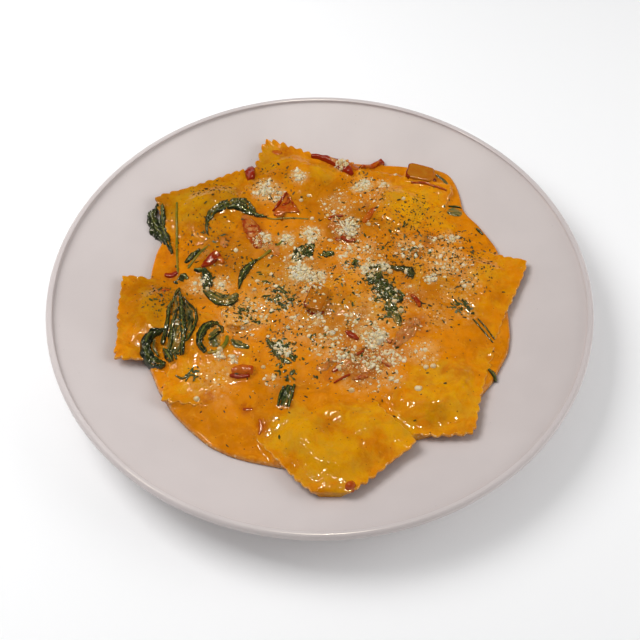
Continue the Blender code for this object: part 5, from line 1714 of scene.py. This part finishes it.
@dataclass(frozen=True)
class Strewn:
    """One kind of bit, strewn over the food by Geometry Nodes.

    The sizes are the smallest and largest length of a bit, the shape is its width and height as
    shares of its length, and the heap is how far bits pile up where they lie thickest.
    """

    name: str
    slot: str
    kind: Bit
    where: Spots
    density: float
    sizes: tuple[float, float]
    shape: tuple[float, float]
    seed: int
    finish: Grain
    heap: float = 0.0
    uneven: float = 0.0
    apart: float = 0.0
    buried: float = 0.0
    gather: float = 1.0

    def landing(self, relief: Relief) -> bpy.types.Mesh:
        """The surface that the bits land on, with how thickly they lie at each point."""
        cell = 0.0012
        axis = np.arange(-0.102, 0.1021, cell)
        x, y = np.meshgrid(axis, axis, indexing="ij")
        height = relief.read(relief.blurred(relief.top, 0.0004), x, y)
        on_food = ease(relief.read(relief.covered, x, y), 0.80, 0.95)
        share = self.where.at(x, y) ** self.gather * on_food
        number = np.arange(x.size).reshape(x.shape)
        kept = share[:-1, :-1] + share[1:, 1:] > 0.004
        quads = np.stack([number[:-1, :-1][kept], number[1:, :-1][kept], number[1:, 1:][kept], number[:-1, 1:][kept]], 1)
        mesh = bpy.data.meshes.new(self.name + "_landing")
        mesh.from_pydata(np.stack([x.ravel(), y.ravel(), height.ravel()], 1).tolist(), [], quads.tolist())
        layer = mesh.attributes.new("share", "FLOAT", "POINT")
        layer.data.foreach_set("value", share.ravel().astype(np.float32))
        return mesh

    def seed_shape(self, nodes: Nodes) -> Socket:
        """One bit of length 1, lying flat."""
        if self.kind is Bit.FLAKE:
            made = nodes.node("GeometryNodeMeshCylinder", {"Vertices": 5, "Radius": 0.5, "Depth": 1.0})
        elif self.kind is Bit.CRUMB:
            made = nodes.node("GeometryNodeMeshUVSphere", {"Segments": 6, "Rings": 4, "Radius": 0.5})
        elif self.kind is Bit.DUST:
            made = nodes.node("GeometryNodeMeshUVSphere", {"Segments": 5, "Rings": 3, "Radius": 0.5})
        else:
            made = nodes.node("GeometryNodeMeshIcoSphere", {"Radius": 0.5, "Subdivisions": 1})
        flat = nodes.node("GeometryNodeTransform", {"Geometry": made.outputs["Mesh"], "Scale": (1.0, *self.shape)})
        return flat.outputs[0]

    def build(self, relief: Relief) -> bpy.types.Object:
        """Strews the bits on the relief.

        Args:
            relief: The heights of the finished food.

        Returns:
            The object that holds all the bits.
        """
        nodes = Nodes("strew_" + self.name)
        density = nodes.setting("Bits per Square Metre", "Float", self.density)
        least = nodes.setting("Smallest", "Float", self.sizes[0])
        most = nodes.setting("Largest", "Float", self.sizes[1])
        heap = nodes.setting("Heap Height", "Float", self.heap)
        uneven = nodes.setting("Unevenness", "Float", self.uneven)
        apart = nodes.setting("Least Distance", "Float", self.apart)
        buried = nodes.setting("Buried Share", "Float", self.buried)
        seed = nodes.setting("Seed", "Int", self.seed)
        finish = nodes.setting("Finish", "Material", self.finish.material())
        share = nodes.node("GeometryNodeInputNamedAttribute", {"Name": "share"}, data_type="FLOAT").outputs[0]
        if self.apart:
            spread = nodes.node("GeometryNodeDistributePointsOnFaces", {
                "Mesh": nodes.start.outputs[0], "Distance Min": apart, "Density Max": density,
                "Density Factor": share, "Seed": seed}, distribute_method="POISSON")
        else:
            spread = nodes.node("GeometryNodeDistributePointsOnFaces", {
                "Mesh": nodes.start.outputs[0], "Density": nodes.math("MULTIPLY", density, share), "Seed": seed})
        chance = nodes.node("FunctionNodeRandomValue", {"Seed": seed}, data_type="FLOAT").outputs[1]
        small = nodes.math("POWER", chance, 2.2)
        size = nodes.math("ADD", least, nodes.math("MULTIPLY", small, nodes.math("SUBTRACT", most, least)))
        lift = nodes.math("SUBTRACT", nodes.math("MULTIPLY", nodes.math("MULTIPLY", share, heap), chance),
                          nodes.math("MULTIPLY", size, buried))
        raise_by = nodes.node("ShaderNodeVectorMath", {0: spread.outputs["Normal"], "Scale": lift}, operation="SCALE")
        piled = nodes.node("GeometryNodeSetPosition", {"Geometry": spread.outputs["Points"], "Offset": raise_by.outputs[0]})
        turn = nodes.node("FunctionNodeRandomValue", {0: (-0.5, -0.5, 0.0), 1: (0.5, 0.5, 6.283), "Seed": seed},
                          data_type="FLOAT_VECTOR").outputs[0]
        facing = nodes.node("FunctionNodeRotateRotation", {0: spread.outputs["Rotation"], 1: turn}, rotation_space="LOCAL")
        stretch = nodes.node("FunctionNodeRandomValue", {0: (0.8, 0.6, 0.6), 1: (1.25, 1.15, 1.2), "Seed": seed},
                             data_type="FLOAT_VECTOR").outputs[0]
        scale = nodes.node("ShaderNodeVectorMath", {0: stretch, "Scale": size}, operation="SCALE")
        placed = nodes.node("GeometryNodeInstanceOnPoints", {
            "Points": piled.outputs[0], "Instance": self.seed_shape(nodes), "Rotation": facing.outputs[0],
            "Scale": scale.outputs[0]})
        real = nodes.node("GeometryNodeRealizeInstances", {"Geometry": placed.outputs[0]})
        place = nodes.node("GeometryNodeInputPosition")
        rough = nodes.node("ShaderNodeTexNoise", {"Vector": place.outputs[0], "Scale": 0.75 / self.sizes[1], "Detail": 2.0})
        centred = nodes.node("ShaderNodeVectorMath", {0: rough.outputs["Color"], 1: (0.5, 0.5, 0.5)}, operation="SUBTRACT")
        push = nodes.node("ShaderNodeVectorMath", {0: centred.outputs[0], "Scale": uneven}, operation="SCALE")
        shaped = nodes.node("GeometryNodeSetPosition", {"Geometry": real.outputs[0], "Offset": push.outputs[0]})
        smooth = nodes.node("GeometryNodeSetShadeSmooth", {"Geometry": shaped.outputs[0], "Shade Smooth": self.kind in (Bit.CRUMB, Bit.DUST)})
        mesh = nodes.run(smooth.outputs[0], finish, self.landing(relief))
        return new_piece(self.name, mesh)


STREWN = (
    Strewn("cheese_crumbs", "grated_cheese", Bit.CRUMB, CHEESE, 1.35e6, (0.0009, 0.0035), (0.85, 0.70), 31,
           Grain("grated_cheese", (0.760, 0.640, 0.430), (0.680, 0.500, 0.260), 0.0022, 0.28, 0.45),
           heap=0.0006, uneven=0.0016, buried=0.20, gather=1.5),
    Strewn("cheese_dust", "grated_cheese", Bit.DUST, CHEESE, 2.2e6, (0.0003, 0.0015), (0.85, 0.75), 36,
           Grain("cheese_dust", (0.700, 0.480, 0.210), (0.660, 0.380, 0.110), 0.0040, 0.26, 0.50),
           heap=0.0002, uneven=0.0007, buried=0.22),
    Strewn("herb_flakes", "dried_herbs", Bit.FLAKE, HERBS, 5.6e5, (0.0006, 0.0025), (0.44, 0.18), 32,
           Grain("dried_herbs", (0.085, 0.064, 0.010), (0.034, 0.024, 0.006), 0.0020, 0.50), uneven=0.0003, apart=0.0008),
    Strewn("green_leaflets", "dried_herbs", Bit.FLAKE, LEAFLETS, 6.0e5, (0.0010, 0.0032), (0.45, 0.14), 33,
           Grain("chopped_leaves", (0.060, 0.080, 0.014), (0.022, 0.036, 0.008), 0.0030, 0.30), heap=0.0003, uneven=0.0010),
    Strewn("pepper_grains", "ground_pepper", Bit.GRAIN, HERBS, 3.0e5, (0.00025, 0.0009), (0.85, 0.6), 34,
           Grain("ground_pepper", (0.045, 0.016, 0.005), (0.110, 0.034, 0.008), 0.0015, 0.5), apart=0.0009),
)


# ---------------------------------------------------------------------------------------------
# The food, laid from the plate upwards


@dataclass
class Food:
    """Everything on the plate."""

    ravioli: tuple[Ravioli, ...] = (
        Ravioli("ravioli_left", 2.5, 201),
        Ravioli("ravioli_upper_left", 28.0, 202, lean=0.10),
        Ravioli("ravioli_right", -24.0, 203),
        Ravioli("ravioli_upper_right", -17.0, 204, mound=0.0074, wrinkle=0.00070, rim=(0.0050, 0.0190),
                lumps=(Lump(0.15, 0.1, 0.5, 0.15), Lump(-0.45, -0.3, 0.35, -0.2))),
        Ravioli("ravioli_lower_right", -8.0, 205, lean=0.16, wrinkle=0.00055,
                lumps=(Lump(-0.1, 0.15, 0.35, -0.35), Lump(0.35, -0.25, 0.4, 0.25), Lump(-0.5, -0.2, 0.3, 0.25))),
        Ravioli("ravioli_top", -17.0, 206, flute_depth=0.00110),
        Ravioli("ravioli_lower_left", -3.0, 207, mound=0.0050),
        Ravioli("ravioli_bottom", 41.0, 208, cut=0.44, mound=0.0056, wrinkle=0.00055,
                lumps=(Lump(-0.42, 0.46, 0.42, 0.55), Lump(0.62, -0.45, 0.40, 0.30), Lump(0.1, 0.05, 0.38, -0.45),
                       Lump(-0.35, -0.35, 0.35, 0.15))),
        Ravioli("ravioli_middle_left", 14.0, 209, mound=0.0048),
        Ravioli("ravioli_middle_right", -19.0, 210, mound=0.0048),
    )
    sauce: Sauce = field(default_factory=Sauce)
    toppings: tuple[Topping, ...] = TOPPINGS
    strewn: tuple[Strewn, ...] = STREWN

    def finishes(self) -> dict[str, bpy.types.Material]:
        """The materials of the toppings, by slot."""
        return {
            LEAF: WiltedLeaf().material(),
            STALK: Stalks().material(),
            BLOCK: Tomato(TomatoKind.DICE, (0.410, 0.120, 0.005), (0.440, 0.155, 0.009), (0.200, 0.014, 0.003)).material(),
            RED: Tomato(TomatoKind.PEEL, (0.460, 0.105, 0.006), (0.400, 0.055, 0.005), (0.250, 0.015, 0.003)).material(),
            BROWN: Tomato(TomatoKind.FLESH, (0.420, 0.125, 0.020), (0.520, 0.220, 0.070), (0.280, 0.028, 0.006),
                          0.30).material(),
            "grated_cheese": Grain("cheese_lump", (0.700, 0.550, 0.320), (0.580, 0.400, 0.170), 0.0030, 0.40,
                                   0.35).material(),
        }

    def build(self) -> None:
        """Lays the food, one layer on another."""
        relief = Relief()
        ground = relief.of_mesh(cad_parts["plate"].data)
        ground = relief.blurred(np.where(np.isfinite(ground), ground, 0.02), 0.0015)
        relief.top = ground.copy()
        pasta = SaucedSurface(Coating.PASTA).material()
        for piece in self.ravioli:
            piece.build(relief, pasta)
        self.sauce.settle(relief, ground)
        finishes = self.finishes()
        for topping in self.toppings:
            topping.build(relief, finishes[topping.slot])
        self.sauce.build(relief, ground, SaucedSurface(Coating.SAUCE).material())
        relief.covered = relief.blurred((relief.top > ground + 0.0012).astype(float), 0.0016)
        for kind in self.strewn:
            kind.build(relief)


# ---------------------------------------------------------------------------------------------
# The floor, the light and the camera


@dataclass(frozen=True)
class Softbox:
    """A square lamp: where it stands, its side in metres and its power in watts.

    A mirrored lamp shows in gloss, and a lighting one lights what is dull.
    """

    name: str
    place: tuple[float, float, float]
    side: float
    power: float
    mirrored: bool = True
    lighting: bool = True
    target: tuple[float, float, float] = (0.0, 0.0, 0.01)
    tint: Colour = (1.0, 1.0, 1.0)

    def build(self) -> None:
        """Hangs the lamp and turns it to its target."""
        lamp = bpy.data.lights.new(self.name, "AREA")
        lamp.shape = "SQUARE"
        lamp.size = self.side
        lamp.energy = self.power
        lamp.color = self.tint
        hung = bpy.data.objects.new(self.name, lamp)
        hung.location = self.place
        hung.visible_glossy = self.mirrored
        hung.visible_diffuse = self.lighting
        hung.rotation_euler = (Vector(self.target) - Vector(self.place)).to_track_quat("-Z", "Y").to_euler()
        bpy.context.scene.collection.objects.link(hung)


@dataclass
class Studio:
    """A pale floor, soft lamps and the camera that looks down at the plate."""

    floor_side: float = 6.0
    floor_colour: Colour = (0.965, 0.965, 0.97)
    air: float = 0.43
    lamps: tuple[Softbox, ...] = (
        Softbox("key", (-0.40, 0.14, 0.56), 0.38, 3.3, mirrored=False),
        Softbox("fill", (0.84, -0.05, 0.40), 0.60, 3.3, mirrored=False),
        Softbox("glint", (0.03, -0.02, 1.05), 0.055, 6.0, lighting=False, tint=(1.0, 0.90, 0.70)),
        Softbox("side_glint", (-0.45, 0.05, 0.95), 0.045, 3.4, lighting=False, tint=(1.0, 0.90, 0.70)),
    )
    elevation: float = 54.69
    distance: float = 0.49464
    lens: float = 55.78
    sensor: float = 36.0
    aim_height: float = 0.024
    aim_down: float = 0.01776
    aim_right: float = 0.00015

    def build(self) -> None:
        """Makes the floor, the light and the camera."""
        self.floor()
        world = bpy.data.worlds.new("studio")
        world.use_nodes = True
        world.node_tree.nodes["Background"].inputs["Color"].default_value = (1.0, 1.0, 1.0, 1.0)
        world.node_tree.nodes["Background"].inputs["Strength"].default_value = self.air
        scene = bpy.context.scene
        world.cycles_visibility.glossy = False
        scene.world = world
        scene.view_settings.view_transform = "Standard"
        for lamp in self.lamps:
            lamp.build()
        rise = math.radians(self.elevation)
        ahead = Vector((0.0, math.cos(rise), -math.sin(rise)))
        upward = Vector((0.0, math.sin(rise), math.cos(rise)))
        lens = bpy.data.cameras.new("camera")
        lens.lens, lens.sensor_width = self.lens, self.sensor
        camera = bpy.data.objects.new("camera", lens)
        camera.location = (Vector((self.aim_right, 0.0, self.aim_height)) - ahead * self.distance
                           - upward * self.aim_down)
        camera.rotation_euler = (math.pi / 2 - rise, 0.0, 0.0)
        scene.collection.objects.link(camera)
        scene.camera = camera

    def floor(self) -> None:
        """Lays the pale floor."""
        half = self.floor_side / 2
        mesh = bpy.data.meshes.new("floor")
        mesh.from_pydata([(-half, -half, 0), (half, -half, 0), (half, half, 0), (-half, half, 0)], [], [(0, 1, 2, 3)])
        graph = Graph("floor_paper")
        shade = graph.blend(graph.noise(0.4, 2.0), self.floor_colour, tuple(0.99 * c for c in self.floor_colour))
        mesh.materials.append(graph.finish(shade, 0.9, Specular_IOR_Level=0.1))
        laid = bpy.data.objects.new("floor", mesh)
        bpy.context.scene.collection.objects.link(laid)


def main() -> None:
    """Builds the plate, the food and the studio, and reports each piece."""
    logging.basicConfig(level=logging.INFO, format="%(name)s: %(message)s", stream=sys.stdout)
    Plate().build()
    Food().build()
    Studio().build()


if __name__ == "__main__":
    main()
